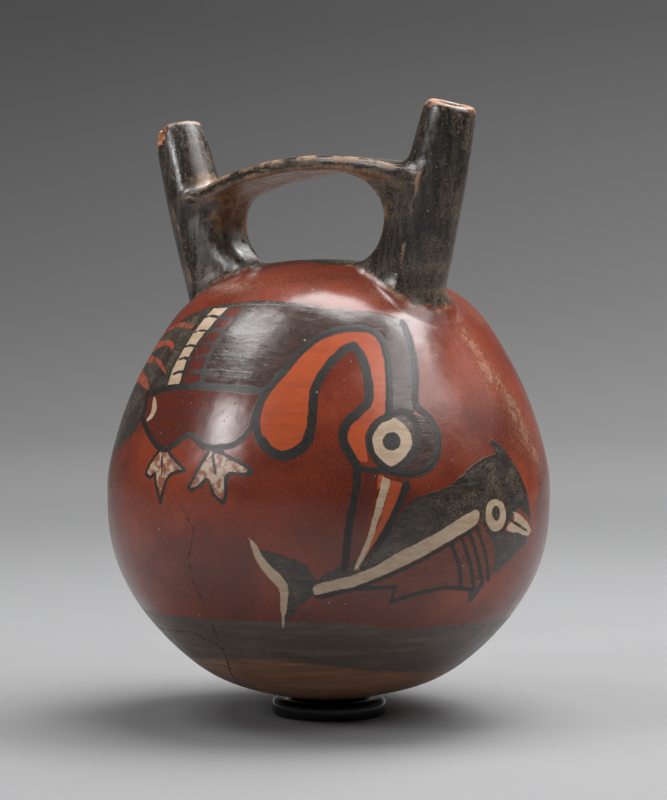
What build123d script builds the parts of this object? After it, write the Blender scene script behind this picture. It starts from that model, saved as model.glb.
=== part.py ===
from build123d import *

import math
import os

# A hollow clay bottle with two leaning spouts and a strap bridge, seated on a low black ring.
#
# Millimetres. The origin is on the table under the centre of the ring, +Z is up, and +X runs
# along the bridge from the left spout to the right one, so the front of the bottle faces -Y.
# The wall is built in stages, as a potter closes a round vessel: a bowl, two wall courses, a
# shoulder and a crown patch. Each spout passes through the shoulder and is luted to it, and
# the strap bridge is luted to the spouts by a web of clay under each of its ends.

# The round body
belly_radius = 69.0  # outside, at the widest circle
belly_level = 70.6  # height of the widest circle
crown_level = 141.6  # height of the top of the body, under the bridge
wall = 4.6
base_wall = 6.2  # at the bottom, where the bowl is thicker
bowl_joint_level = 26.4  # where the bowl ends and the first wall course begins
course_joint_level = 60.0
shoulder_joint_level = 96.0
patch_radius = 17.0  # of the clay disc that closes the crown, on its outside
patch_taper = 32.0  # degrees, wider outside, so that the disc can't fall in

# How full the outline is between the belly and each pole: (share of the radius, share of the rise)
shoulder_outline = [(0.962, 0.217), (0.888, 0.428), (0.783, 0.625), (0.63, 0.818), (0.362, 0.944)]
bowl_outline = [(0.983, 0.246), (0.91, 0.459), (0.82, 0.601), (0.696, 0.742), (0.532, 0.873), (0.29, 0.962)]

# The spouts and the bridge stand in one plane, a little in front of the body's axis
bridge_y = -5.0

# Each spout: where its axis crosses the level of the crown, as a share of the belly's radius, how
# far it leans out, and its height above the crown, measured up the plumb line
left_spout_share = 0.6565
left_spout_lean = 18.5  # degrees
left_spout_height = 43.2
right_spout_share = 0.5739
right_spout_lean = 14.6  # degrees
right_spout_height = 45.6

bore_radius = 4.6
rim_wall = 2.8  # the spout's wall at its rim, where it is drawn in
neck_wall = 4.1
foot_wall = 5.1
neck_length = 11.5  # from the rim down to where the drawing in begins
rim_round = 0.9

# The smoothed clay round each spout's foot
luting_height = 7.0  # up the spout from the body's surface
luting_reach = 5.2  # out over the body
luting_depth = 4.2  # how far its spread follows the body down
luting_feather = 0.6  # how far its thin upper edge dips into the spout

# The strap bridge
strap_width = 25.0  # at its middle
strap_end_width = 17.6
strap_thickness = 4.6
strap_edge = 1.6  # rounding of its long edges
strap_left_height = 16.4  # middle of the strap over the crown, at the left spout's axis
strap_right_height = 23.4
strap_arch = 8.7  # rise of its middle over the line between its ends

# The opening under the bridge, whose ends the webs round off. Its levels are against the crown's
opening_left_gap = 10.9  # from the left spout's axis, at the crown's level, to its widest point
opening_right_gap = 9.4
opening_bottom = -1.9
opening_waist = 10.8  # where it is widest
opening_top = 28.6
opening_flat_top = 0.164  # how much of its width its level top takes, before the corners round down
opening_flat_bottom = 0.551
web_width = 17.4
web_edge = 3.0  # rounding of its two edges along the opening
web_root = 12.0  # how far its sides run down past the crown's level, before the body is cut out

# The ring that the bottle stands on
ring_radius = 17.7  # outside
ring_width = 5.6
ring_height = 5.2
ring_edge = 1.9  # rounding of its upper edges
ring_foot_edge = 1.0  # rounding of its lower edges
seat_gap = 0.25  # between the bowl and the ring


def quarter_outline(radius, low, high, shares):
    """The body's outline from the widest circle, at level low, to the pole at level high."""
    rise = high - low
    between = [(radius * across, low + rise * up) for across, up in shares]
    away = (0, math.copysign(1, rise))
    return Spline((radius, low), *between, (0, high), tangents=[away, (-1, 0)])


def round_body(radius, bottom, top):
    """A solid of revolution with the body's outline."""
    upper = quarter_outline(radius, belly_level, top, shoulder_outline)
    lower = quarter_outline(radius, belly_level, bottom, bowl_outline)
    half = make_face([upper, Line((0, top), (0, bottom)), lower])
    return revolve(Plane.XZ * half, Axis.Z)


def seated_bottom_level():
    """The lowest point of the bowl when it rests, less the gap, on the ring's rounded inner edge."""
    edge_centre = Vertex(ring_radius - ring_width + ring_edge, ring_height - ring_edge, 0)
    low, high = -ring_height, 2 * ring_height
    while high - low > 0.001:
        middle = (low + high) / 2
        lower = quarter_outline(belly_radius, belly_level, middle, bowl_outline)
        if lower.distance_to(edge_centre) < ring_edge + seat_gap:
            low = middle
        else:
            high = middle
    return high


def slab(low, high):
    """All the space between two levels."""
    side = 4 * belly_radius
    return Pos(0, 0, (low + high) / 2) * Box(side, side, high - low)


def patch_cone():
    """The cone that parts the crown patch from the shoulder, patch_radius wide at the crown's level."""
    reach = patch_radius / math.tan(math.radians(patch_taper))
    growth = 1 + wall / reach
    cone = Cone(0, patch_radius * growth, reach * growth)
    return Pos(0, 0, crown_level + wall - reach * growth / 2) * cone


class Spout:
    """One spout: its place, its tube, and the same tube filled."""

    def __init__(self, x, lean, height):
        side = math.copysign(1, x)
        self.slope = side * math.tan(math.radians(lean))
        self.x = x
        foot = Vector(x, bridge_y, crown_level)
        self.length = height / math.cos(math.radians(lean))
        self.below = 3 * (bore_radius + foot_wall) + wall
        self.place = Plane(origin=foot, x_dir=(0, 1, 0), z_dir=(self.slope, 0, 1)).location
        self.filled = self.place * revolve(Plane.XZ * self.half_section(0), Axis.Z)
        self.tube = self.place * revolve(Plane.XZ * self.half_section(bore_radius), Axis.Z)

    def half_section(self, inner):
        """The spout's wall cut along its axis, from radius inner outwards."""
        foot, neck, rim = bore_radius + foot_wall, bore_radius + neck_wall, bore_radius + rim_wall
        top, low = self.length, -self.below
        lip = min(rim_round, 0.45 * rim_wall)
        side = Spline(
            (foot, 0),
            (neck, top - neck_length),
            (rim, top - lip),
            tangents=[(0, 1), (2 * (rim - neck), neck_length)],
        )
        outer_lip = TangentArc(side @ 1, (rim - lip, top), tangent=side % 1)
        lines = [Line((foot, low), (foot, 0)), side, outer_lip]
        if inner:
            inner_lip = RadiusArc((inner + lip, top), (inner, top - lip), -lip)
            lines += [Line(outer_lip @ 1, (inner + lip, top)), inner_lip, Line((inner, top - lip), (inner, low))]
        else:
            lines += [Line(outer_lip @ 1, (0, top)), Line((0, top), (0, low))]
        lines.append(Line((inner, low), (foot, low)))
        return make_face(lines)

    def axis_x(self, height):
        """Where the spout's axis is, at a height over the crown."""
        return self.x + self.slope * height

    def luting(self, body):
        """Clay smoothed in a hollow curve from the body up the spout, on a lean between the two."""
        spout_axis = Axis(self.place.position, self.place.z_axis.direction)
        point, normal = max(body.find_intersection_points(spout_axis), key=lambda hit: hit[0].Z)
        lean = normal + spout_axis.direction
        tilt = math.radians(lean.get_angle(spout_axis.direction))
        foot = bore_radius + foot_wall
        upper = (foot - luting_height * math.tan(tilt) - luting_feather, luting_height)
        edge = (foot + luting_reach, -luting_depth)
        curve = Spline(upper, edge, tangents=[(0, -1), (luting_reach, -luting_depth)])
        half = make_face([curve, Polyline(edge, (0, -luting_depth), (0, luting_height), upper)])
        place = Plane(origin=point, x_dir=(0, 1, 0), z_dir=lean).location
        return place * revolve(Plane.XZ * half, Axis.Z) - body - self.filled


def strap_arc(left, right):
    """The middle line of the strap, from one spout's axis to the other's."""
    start = (left.axis_x(strap_left_height), crown_level + strap_left_height)
    end = (right.axis_x(strap_right_height), crown_level + strap_right_height)
    middle = ((start[0] + end[0]) / 2, (start[1] + end[1]) / 2 + strap_arch)
    return ThreePointArc(start, middle, end)


def strap_solid(left, right):
    """The arched band, narrower at its ends, cut to the spouts."""
    arch = strap_arc(left, right)
    start, middle, end = (arch @ share for share in (0, 0.5, 1))
    band = extrude(Plane.XZ * trace(arch, strap_thickness), strap_width, both=True)
    half_end, half_middle = strap_end_width / 2, strap_width / 2
    front = ThreePointArc((start.X, -half_end), (middle.X, -half_middle), (end.X, -half_end))
    back = ThreePointArc((end.X, half_end), (middle.X, half_middle), (start.X, half_end))
    plan = make_face([front, Line(front @ 1, back @ 0), back, Line(back @ 1, front @ 0)])
    strap = band & extrude(plan, 2 * crown_level)
    long_edges = strap.edges().filter_by(lambda edge: edge.length > (end.X - start.X) * 0.8)
    strap = fillet(long_edges, min(strap_edge, 0.45 * strap_thickness))
    return Pos(0, bridge_y, 0) * strap - left.filled - right.filled


def opening_outline(left, right):
    """The opening's outline in the plane of the bridge: a quarter round at each corner."""
    low, waist, high = (crown_level + level for level in (opening_bottom, opening_waist, opening_top))
    left_x, right_x = left.x + opening_left_gap, right.x - opening_right_gap
    middle_x, width = (left_x + right_x) / 2, right_x - left_x
    half_top, half_bottom = width * opening_flat_top / 2, width * opening_flat_bottom / 2
    stops = [
        ((middle_x + half_bottom, low), (right_x, waist)),
        ((right_x, waist), (middle_x + half_top, high)),
        ((middle_x - half_top, high), (left_x, waist)),
        ((left_x, waist), (middle_x - half_bottom, low)),
    ]
    headings = [(1, 0), (0, 1), (-1, 0), (0, -1), (1, 0)]
    corners = [Spline(*ends, tangents=headings[i : i + 2]) for i, ends in enumerate(stops)]
    top = Line(corners[1] @ 1, corners[2] @ 0)
    bottom = Line(corners[3] @ 1, corners[0] @ 0)
    return make_face([*corners, top, bottom])


def web_solids(left, right, others):
    """The clay under the strap's two ends, cut to the other pieces: one solid for each end, left first."""
    side = 4 * belly_radius
    block = Pos(0, 0, crown_level) * Box(side, web_width, side)
    block -= extrude(Plane.XZ * opening_outline(left, right), side, both=True)
    faces = block.faces().filter_by(Axis.Y).sort_by(Axis.Y)
    rims = faces[0].inner_wires()[0].edges() + faces[-1].inner_wires()[0].edges()
    block = fillet(rims, min(web_edge, 0.45 * web_width))
    arch = strap_arc(left, right)
    root = [(spout.axis_x(-web_root), crown_level - web_root) for spout in (right, left)]
    panel = make_face([arch, Polyline(arch @ 1, *root, arch @ 0)])
    webs = block & extrude(Plane.XZ * panel, side, both=True)
    webs = Pos(0, bridge_y, 0) * webs
    for other in (*others, left.filled, right.filled):
        webs -= other
    return webs.solids().sort_by(Axis.X)


def ring_solid():
    """The ring that the bottle stands on, with a flat underside."""
    inner = ring_radius - ring_width
    corners = [(inner, 0), (ring_radius, 0), (ring_radius, ring_height), (inner, ring_height)]
    radii = [ring_foot_edge, ring_foot_edge, ring_edge, ring_edge]
    section = make_face(FilletPolyline(*corners, radius=radii, close=True))
    return revolve(Plane.XZ * section, Axis.Z)


def main():
    os.makedirs("parts", exist_ok=True)
    bottom = seated_bottom_level()
    print(f"the bowl's lowest point is at {bottom:.2f}")
    body = round_body(belly_radius, bottom, crown_level)
    chamber = round_body(belly_radius - wall, bottom + base_wall, crown_level - wall)
    left = Spout(-left_spout_share * belly_radius, left_spout_lean, left_spout_height)
    right = Spout(right_spout_share * belly_radius, right_spout_lean, right_spout_height)
    shell = body - chamber
    nodes = {"display_ring": ring_solid()}
    nodes["lower_bowl"] = shell & slab(-crown_level, bowl_joint_level)
    nodes["lower_wall_course"] = shell & slab(bowl_joint_level, course_joint_level)
    nodes["upper_wall_course"] = shell & slab(course_joint_level, shoulder_joint_level)
    top = shell & slab(shoulder_joint_level, 2 * crown_level)
    plug = patch_cone()
    nodes["crown_patch"] = top & plug
    nodes["shoulder"] = top - plug - left.filled - right.filled
    nodes["left_spout"] = left.tube - chamber
    nodes["right_spout"] = right.tube - chamber
    strap = strap_solid(left, right)
    nodes["bridge_strap"] = strap
    lutings = {"left": left.luting(body), "right": right.luting(body)}
    webs = web_solids(left, right, [strap, body, *lutings.values()])
    nodes["left_bridge_web"], nodes["right_bridge_web"] = webs[0], webs[-1]
    for side, luting in lutings.items():
        nodes[f"{side}_foot_luting"] = luting
    for name, solid in nodes.items():
        print(name, [round(piece.volume, 1) for piece in solid.solids()], solid.is_valid)
        export_step(solid, f"parts/{name}.step")


if __name__ == "__main__":
    main()
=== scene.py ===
import math
from functools import partialmethod

import bmesh
import bpy
import numpy as np
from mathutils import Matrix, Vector


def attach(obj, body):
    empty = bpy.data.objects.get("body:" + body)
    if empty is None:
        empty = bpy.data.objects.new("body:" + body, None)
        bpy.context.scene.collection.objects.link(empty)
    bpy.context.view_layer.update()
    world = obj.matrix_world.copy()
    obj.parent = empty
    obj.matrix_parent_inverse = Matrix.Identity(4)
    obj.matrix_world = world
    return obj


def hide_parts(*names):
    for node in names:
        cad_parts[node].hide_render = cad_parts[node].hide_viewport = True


# The looks of a hollow, hand-built clay bottle: two leaning spouts and a strap bridge over a round
# body that is painted with a wading bird and its fish, in coloured slips burnished before firing.
#
# Lengths in this script are millimetres. Meshes are scaled to metres as they are made. A place on
# the wall is an azimuth, in degrees from the front (-Y) round towards the right spout (+X), and a
# height. The same azimuth plus 180 is the same place on the back.

MM = 0.001

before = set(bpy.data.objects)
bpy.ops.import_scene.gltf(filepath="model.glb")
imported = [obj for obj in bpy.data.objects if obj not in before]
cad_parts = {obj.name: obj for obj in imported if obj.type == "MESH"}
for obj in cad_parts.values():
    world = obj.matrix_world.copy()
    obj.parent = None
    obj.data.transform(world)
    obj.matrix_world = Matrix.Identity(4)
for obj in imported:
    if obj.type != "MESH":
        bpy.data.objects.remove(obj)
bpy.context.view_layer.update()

# === Sizes, as in the part's source ===

belly_radius = 69.0
belly_level = 70.6
crown_level = 141.6
bottom_level = 4.86
wall = 4.6
base_wall = 6.2
bowl_joint_level = 26.4
course_joint_level = 60.0
shoulder_joint_level = 96.0
patch_radius = 17.0
patch_taper = 32.0  # degrees

# (share of the radius, share of the rise) between the belly and each pole
shoulder_outline = [(0.962, 0.217), (0.888, 0.428), (0.783, 0.625), (0.63, 0.818), (0.362, 0.944)]
bowl_outline = [(0.983, 0.246), (0.91, 0.459), (0.82, 0.601), (0.696, 0.742), (0.532, 0.873), (0.29, 0.962)]

bridge_y = -5.0
left_spout_x = -0.6565 * belly_radius
left_spout_lean = 18.5  # degrees
left_spout_height = 43.2
right_spout_x = 0.5739 * belly_radius
right_spout_lean = 14.6  # degrees
right_spout_height = 45.6
bore_radius = 4.6
foot_radius = 9.7
neck_radius = 8.7
rim_radius = 7.4
neck_length = 11.5

strap_width = 25.0
strap_end_width = 17.6
strap_thickness = 4.6
strap_left_height = 16.4
strap_right_height = 23.4
strap_arch = 8.7

opening_left_x = left_spout_x + 10.9
opening_right_x = right_spout_x - 9.4
opening_bottom = -1.9
opening_waist = 10.8
opening_top = 28.6
opening_flat_top = 0.164  # share of the opening's width
opening_flat_bottom = 0.551
web_width = 17.4

ring_radius = 17.7
ring_width = 5.6
ring_height = 5.2
ring_edge = 1.9
ring_foot_edge = 1.0

# How fine the meshes are
wall_steps = 720  # round the body
wall_step = 0.62  # up the painted wall
plain_step = 1.1  # up the bowl and the crown patch
inner_step = 5.0
neck_step = 0.56  # of the blended clay of the spouts and the bridge
outline_points = 900  # from the belly to each pole

# How softly the clay of the spouts, the bridge and the body is smoothed together
neck_to_neck = 1.0
neck_to_body = 6.6
web_to_strap = 3.0
bridge_to_neck = 4.6
web_edge = 6.5
strap_edge = 1.9
mouth_edge = 1.7
bore_edge = 1.5
chip_edge = 0.7
luting_width = 5.6  # how far the clay at a spout's foot reaches out along the body, and up

# How far from an edge its distance is stored
paint_limit = 5.0
far = 9.0
out_of_reach = 99.0

# === The camera, the lamps and the room ===

view_azimuth = 40.0  # degrees, from the front towards the right spout
view_distance = 800.0
view_height = 129.0
view_pitch = 2.2248  # degrees downwards
view_aside = 1.4  # how far the camera stands to the right of the body's axis
view_lens = 115.83  # on a sensor 36 mm high

# Each lamp: azimuth and elevation in degrees, distance, width, height, watts
lamps = {
    "overhead_bank": (172, 79, 950, 620, 620, 9.2),
    "left_high_softbox": (-42, 56.5, 950, 400, 360, 3.0),
    "left_low_softbox": (-21, 27, 950, 240, 240, 2.4),
    "right_back_softbox": (153, 59, 950, 800, 330, 7.6),
    "right_screen": (98, 42, 1250, 900, 560, 5.4),
    "right_low_screen": (136, 28, 1250, 780, 400, 0.7),
    "back_strip": (186, 42, 1100, 460, 300, 1.0),
}


def srgb(red, green, blue):
    """A colour written 0 to 255, as a shader takes it."""
    return tuple(
        c / 12.92 if c <= 0.04045 else ((c + 0.055) / 1.055) ** 2.4
        for c in (red / 255, green / 255, blue / 255)
    ) + (1.0,)


# The slips and the clay, fired and burnished
red_slip = srgb(130, 50, 29)
deep_red_slip = srgb(100, 36, 21)
bright_red_slip = srgb(160, 70, 44)
dark_red_slip = srgb(82, 38, 28)
maroon_slip = srgb(92, 40, 34)
orange_slip = srgb(186, 80, 38)
ochre_slip = srgb(114, 52, 24)
cream_slip = srgb(200, 176, 150)
black_slip = srgb(48, 43, 39)
line_black = srgb(27, 24, 22)
thin_black_slip = srgb(62, 54, 49)
brown_wash = srgb(162, 116, 88)
dark_brown_wash = srgb(112, 78, 58)
rusty_wash = srgb(130, 84, 58)
band_slip = srgb(74, 63, 56)
dry_band = srgb(122, 106, 92)
neck_black = srgb(33, 30, 28)
neck_thin_black = srgb(66, 59, 52)
scratch_grey = srgb(150, 136, 118)
strap_dust = srgb(150, 122, 96)
foot_dust = srgb(158, 122, 94)
speckle_tan = srgb(146, 116, 90)
fresh_clay = srgb(198, 122, 72)
worn_brown = srgb(156, 116, 74)
worn_dark_brown = srgb(98, 74, 52)
dusty_tan = srgb(164, 126, 96)
bare_clay = srgb(176, 112, 70)
# also the painted sheen that the scuff table lays over the top and down the right side
pale_scuff_and_sheen = srgb(186, 160, 132)
grit_colour = srgb(214, 200, 182)
soot_colour = srgb(22, 19, 17)
ring_black = srgb(9, 9, 10)
ring_dust = srgb(120, 116, 110)

# The room
floor_paper = srgb(140, 140, 141)
# painted shade: the grey of the paper in front of and to the right of the bottle
painted_shade_grey = srgb(66, 66, 68)
room_light = srgb(200, 204, 208)


# === Curves and distances ===


def bend(t, run, here, leave, there, arrive):
    """A smooth bend from here to there, which leaves and arrives along the given slopes."""
    return (
        (2 * t**3 - 3 * t**2 + 1) * here
        + (t**3 - 2 * t**2 + t) * run * leave
        + (3 * t**2 - 2 * t**3) * there
        + (t**3 - t**2) * run * arrive
    )


def clamped_curve(points, first_heading, last_heading, count):
    """A smooth curve through the points that leaves and arrives along the given headings."""
    points = np.array(points, float)
    runs = np.linalg.norm(np.diff(points, axis=0), axis=1)
    stops = np.concatenate([[0], np.cumsum(runs)])
    size = len(points)
    matrix, target = np.zeros((size, size)), np.zeros((size, 2))
    matrix[0, 0] = matrix[-1, -1] = 1
    target[0], target[-1] = first_heading, last_heading
    for i in range(1, size - 1):
        before, after = runs[i - 1], runs[i]
        matrix[i, i - 1], matrix[i, i], matrix[i, i + 1] = after, 2 * (before + after), before
        target[i] = 3 * (
            after * (points[i] - points[i - 1]) / before + before * (points[i + 1] - points[i]) / after
        )
    slopes = np.linalg.solve(matrix, target)
    at = np.linspace(0, stops[-1], count)
    i = np.clip(np.searchsorted(stops, at, "right") - 1, 0, size - 2)
    run = runs[i][:, None]
    t = (at - stops[i])[:, None] / run
    return bend(t, run, points[i], slopes[i], points[i + 1], slopes[i + 1])


def body_outline(radius, bottom, top):
    """(radius, height) from the bottom pole to the top pole."""
    halves = []
    for pole, shares, heading in ((bottom, bowl_outline, -1), (top, shoulder_outline, 1)):
        stops = [(radius, belly_level)]
        stops += [(radius * across, belly_level + (pole - belly_level) * up) for across, up in shares]
        halves.append(clamped_curve(stops + [(0, pole)], (0, heading), (-1, 0), outline_points))
    falling, rising = halves
    return np.vstack([falling[::-1], rising[1:]])


def evenly(path, step):
    """The same path with its points about one step apart, and its two ends kept."""
    runs = np.concatenate([[0], np.cumsum(np.linalg.norm(np.diff(path, axis=0), axis=1))])
    at = np.linspace(0, runs[-1], max(2, int(round(runs[-1] / step)) + 1))
    return np.stack([np.interp(at, runs, path[:, i]) for i in range(path.shape[1])], 1)


def between_levels(outline, low, high):
    """The part of an outline between two heights, ends included."""
    ends = [[np.interp(level, outline[:, 1], outline[:, 0]), level] for level in (low, high)]
    inside = outline[(outline[:, 1] > low + 1e-6) & (outline[:, 1] < high - 1e-6)]
    return np.vstack([ends[0], inside, ends[1]])


outer_outline = body_outline(belly_radius, bottom_level, crown_level)
inner_outline = body_outline(belly_radius - wall, bottom_level + base_wall, crown_level - wall)


def smooth_min(a, b, reach):
    """The lesser of two fields, rounded where they are within reach of each other."""
    near = np.maximum(reach - np.abs(a - b), 0) / reach
    return np.minimum(a, b) - near * near * reach / 4


def smooth_max(a, b, reach):
    return -smooth_min(-a, -b, reach)


def ease(value, low, high):
    """0 at low, 1 at high, smooth between."""
    t = np.clip((value - low) / (high - low), 0, 1)
    return t * t * (3 - 2 * t)


class DistanceTable:
    """Signed distance to a closed loop in a plane, negative inside it, read from a fine grid."""

    def __init__(self, loop, low, high, step):
        self.low, self.step = np.array(low, float), step
        counts = [int(round((high[i] - low[i]) / step)) + 1 for i in (0, 1)]
        axes = [self.low[i] + step * np.arange(counts[i]) for i in (0, 1)]
        grid = np.stack(np.meshgrid(*axes, indexing="ij"), -1).reshape(-1, 2)
        loop = evenly(np.vstack([loop, loop[:1]]), 1.5 * step)
        sign = np.where(within(grid, loop[:-1]), -1.0, 1.0)
        self.values = (sign * path_distance(grid, loop)).reshape(counts)

    def __call__(self, x, z):
        cell = (np.stack([x, z], -1) - self.low) / self.step
        cell = np.clip(cell, 0, np.array(self.values.shape) - 1.001)
        i, j = cell[..., 0].astype(int), cell[..., 1].astype(int)
        u, v = cell[..., 0] - i, cell[..., 1] - j
        value = self.values
        low = value[i, j] * (1 - u) + value[i + 1, j] * u
        high = value[i, j + 1] * (1 - u) + value[i + 1, j + 1] * u
        return low * (1 - v) + high * v


def within(points, loop):
    """Which points, in a plane, lie inside the closed loop."""
    inside = np.zeros(len(points), bool)
    x, y = points[:, 0], points[:, 1]
    for (ax, ay), (bx, by) in zip(loop, np.roll(loop, -1, axis=0)):
        if ay == by:
            continue
        crosses = (ay > y) != (by > y)
        inside ^= crosses & (x < (bx - ax) * (y - ay) / (by - ay) + ax)
    return inside


def path_distance(points, path):
    """Distance from each point to the nearest place on a path, in two or three dimensions."""
    nearest = np.full(len(points), 1e18)
    for a, b in zip(path[:-1], path[1:]):
        along = b - a
        length = float(along @ along)
        offset = points - a
        share = np.clip(offset @ along / length, 0, 1) if length else np.zeros(len(points))
        offset = offset - share[:, None] * along
        nearest = np.minimum(nearest, np.einsum("ij,ij->i", offset, offset))
    return np.sqrt(nearest)


def hand_wobble(points):
    """How far the surface of the clay falls short of the turned form: hand-built walls aren't true."""
    x, y, z = points[:, 0], points[:, 1], points[:, 2]
    swell = np.sin(x / 31 + 0.7) * np.sin(y / 27 - 0.4) + np.sin((x + y) / 19 + z / 23)
    dents = np.sin(x / 9.3 + z / 14) * np.sin(y / 10.1 + 1.1) * np.sin(z / 8.7 + 0.5)
    return 0.26 + 0.09 * swell + 0.07 * dents


class Spout:
    """One spout's axis and its fields."""

    def __init__(self, x, lean, height):
        side = math.copysign(1, x)
        self.foot = np.array([x, bridge_y, crown_level])
        self.slope = side * math.tan(math.radians(lean))
        self.axis = np.array([self.slope, 0, 1]) / math.hypot(self.slope, 1)
        self.length = height / math.cos(math.radians(lean))
        rise = [(foot_radius, 0), (neck_radius, self.length - neck_length), (rim_radius, self.length)]
        rim_heading = np.array([2 * (rim_radius - neck_radius), neck_length]) / 12
        self.side = clamped_curve(rise, (0, 1), rim_heading, 200)

    def axis_x(self, height):
        return self.foot[0] + self.slope * height

    def reach(self, points):
        """How far up the axis each point is, and how far out from it."""
        offset = points - self.foot
        up = offset @ self.axis
        return up, np.linalg.norm(offset - up[:, None] * self.axis, axis=1)

    def tube(self, points):
        return smooth_max(self.beyond_side(points), self.reach(points)[0] - self.length, mouth_edge)

    def beyond_side(self, points):
        """How far out from the spout's side each point is."""
        up, out = self.reach(points)
        return out - np.interp(up, self.side[:, 1], self.side[:, 0])

    def bore(self, points):
        return self.reach(points)[1] - bore_radius

    def inner_side(self, points):
        """Negative on the side of the axis where the bridge is."""
        normal = np.array([self.axis[2], 0, -self.axis[0]]) * math.copysign(1, self.foot[0])
        return (points - self.foot) @ normal


left_spout = Spout(left_spout_x, left_spout_lean, left_spout_height)
right_spout = Spout(right_spout_x, right_spout_lean, right_spout_height)


def between_axes(points):
    return np.maximum(left_spout.inner_side(points), right_spout.inner_side(points))


def opening_loop():
    """The opening under the bridge in the plane of the bridge, a quarter round at each corner."""
    low, waist, high = (crown_level + level for level in (opening_bottom, opening_waist, opening_top))
    middle, width = (opening_left_x + opening_right_x) / 2, opening_right_x - opening_left_x
    half_top, half_bottom = width * opening_flat_top / 2, width * opening_flat_bottom / 2
    stops = [
        ((middle + half_bottom, low), (opening_right_x, waist)),
        ((opening_right_x, waist), (middle + half_top, high)),
        ((middle - half_top, high), (opening_left_x, waist)),
        ((opening_left_x, waist), (middle - half_bottom, low)),
    ]
    headings = [(1, 0), (0, 1), (-1, 0), (0, -1), (1, 0)]
    corners = [clamped_curve(ends, headings[i], headings[i + 1], 40) for i, ends in enumerate(stops)]
    return np.vstack(corners)


body_table = DistanceTable(
    np.vstack([outer_outline, outer_outline[::-1] * (-1, 1)]), (-1, 84), (80, 196), 0.5
)
opening_table = DistanceTable(opening_loop(), (-60, 130), (60, 180), 0.5)


def body_field(points):
    """Distance out from the body's outside."""
    return body_table(np.hypot(points[:, 0], points[:, 1]), points[:, 2]) + hand_wobble(points)


class Strap:
    """The arched band, as distances from its middle line and its edges."""

    def __init__(self):
        self.start = np.array([left_spout.axis_x(strap_left_height), crown_level + strap_left_height])
        self.end = np.array([right_spout.axis_x(strap_right_height), crown_level + strap_right_height])
        top = (self.start + self.end) / 2 + (0, strap_arch)
        rows = 2 * np.array([top - self.start, self.end - self.start])
        sums = [top @ top - self.start @ self.start, self.end @ self.end - self.start @ self.start]
        self.centre = np.linalg.solve(rows, sums)
        self.radius = np.linalg.norm(self.start - self.centre)

    def height(self, points):
        """How far a point is above the strap's middle line."""
        return np.hypot(points[:, 0] - self.centre[0], points[:, 2] - self.centre[1]) - self.radius

    def field(self, points):
        share = (points[:, 0] - self.start[0]) / (self.end[0] - self.start[0])
        crown = 1 - (2 * np.clip(share, 0, 1) - 1) ** 2
        half_width = (strap_end_width + (strap_width - strap_end_width) * crown) / 2
        over = np.abs(self.height(points)) - (strap_thickness / 2 - strap_edge)
        out = np.abs(points[:, 1] - bridge_y) - (half_width - strap_edge)
        band = np.hypot(np.maximum(over, 0), np.maximum(out, 0))
        band = band + np.minimum(np.maximum(over, out), 0) - strap_edge
        return np.maximum(band, between_axes(points))


strap = Strap()


def web_field(points):
    """The clay under the strap's ends, rounded off towards the opening."""
    sides = np.abs(points[:, 1] - bridge_y) - web_width / 2
    web = smooth_max(sides, -opening_table(points[:, 0], points[:, 2]), web_edge)
    return np.maximum.reduce([web, strap.height(points), between_axes(points)])


# The chip out of the left spout's rim, and small ones that wear has left: place, size
rim_chips = [
    ((-61.8, -14.2, 182.6), (4.2, 4.2, 4.6)),
    ((-65.4, -10.6, 180.2), (2.8, 2.8, 4.2)),
    ((-55.6, -13.8, 184.8), (1.6, 1.5, 1.2)),
    ((57.2, -12.4, 188.2), (2.0, 1.6, 1.1)),
    ((45.2, -9.2, 188.6), (1.5, 1.6, 0.9)),
]


def chip_field(points):
    """How deep in a chip a point is: positive inside one."""
    deepest = np.full(len(points), -far)
    for place, size in rim_chips:
        offset = (points - np.array(place)) / np.array(size)
        rough = 0.12 * np.sin(points[:, 0] * 2.1) * np.sin(points[:, 2] * 1.7 + points[:, 1])
        deepest = np.maximum(deepest, (1 + rough - np.linalg.norm(offset, axis=1)) * min(size))
    return deepest


def clay_field(points):
    """The whole upper clay as the potter left it: spouts, bridge and body smoothed into each other."""
    solid = smooth_min(left_spout.tube(points), right_spout.tube(points), neck_to_neck)
    solid = smooth_min(solid, body_field(points), neck_to_body)
    bridge = smooth_min(strap.field(points), web_field(points), web_to_strap)
    solid = smooth_min(solid, bridge, bridge_to_neck)
    x, y, z = points[:, 0], points[:, 1], points[:, 2]
    solid = solid + 0.1 + 0.1 * np.sin(x / 2.9 + y / 4.1) * np.sin(z / 6.3) * ease(z, 140, 150)
    solid = smooth_max(solid, chip_field(points), chip_edge)
    for spout in (left_spout, right_spout):
        solid = smooth_max(solid, -spout.bore(points), bore_edge)
    return solid


# === Meshes ===


def mesh_from(name, points, faces):
    """A mesh in metres from points in millimetres."""
    mesh = bpy.data.meshes.new(name)
    mesh.vertices.add(len(points))
    mesh.vertices.foreach_set("co", (points * MM).astype(np.float32).ravel())
    mesh.loops.add(faces.size)
    mesh.loops.foreach_set("vertex_index", faces.astype(np.int32).ravel())
    mesh.polygons.add(len(faces))
    mesh.polygons.foreach_set("loop_start", np.arange(0, faces.size, faces.shape[1], dtype=np.int32))
    mesh.update(calc_edges=True)
    mesh.validate()
    return mesh


def link(name, mesh):
    thing = bpy.data.objects.new(name, mesh)
    bpy.context.scene.collection.objects.link(thing)
    return thing


def points_of(mesh):
    """A mesh's vertices in millimetres."""
    flat = np.empty(len(mesh.vertices) * 3, np.float32)
    mesh.vertices.foreach_get("co", flat)
    return flat.reshape(-1, 3).astype(float) / MM


def made_by_modifiers(thing):
    """The mesh that a thing's modifiers make."""
    bpy.context.view_layer.update()
    graph = bpy.context.evaluated_depsgraph_get()
    return bpy.data.meshes.new_from_object(thing.evaluated_get(graph), depsgraph=graph)


def move_points(mesh, points):
    mesh.vertices.foreach_set("co", (points * MM).astype(np.float32).ravel())
    mesh.update()


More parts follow.
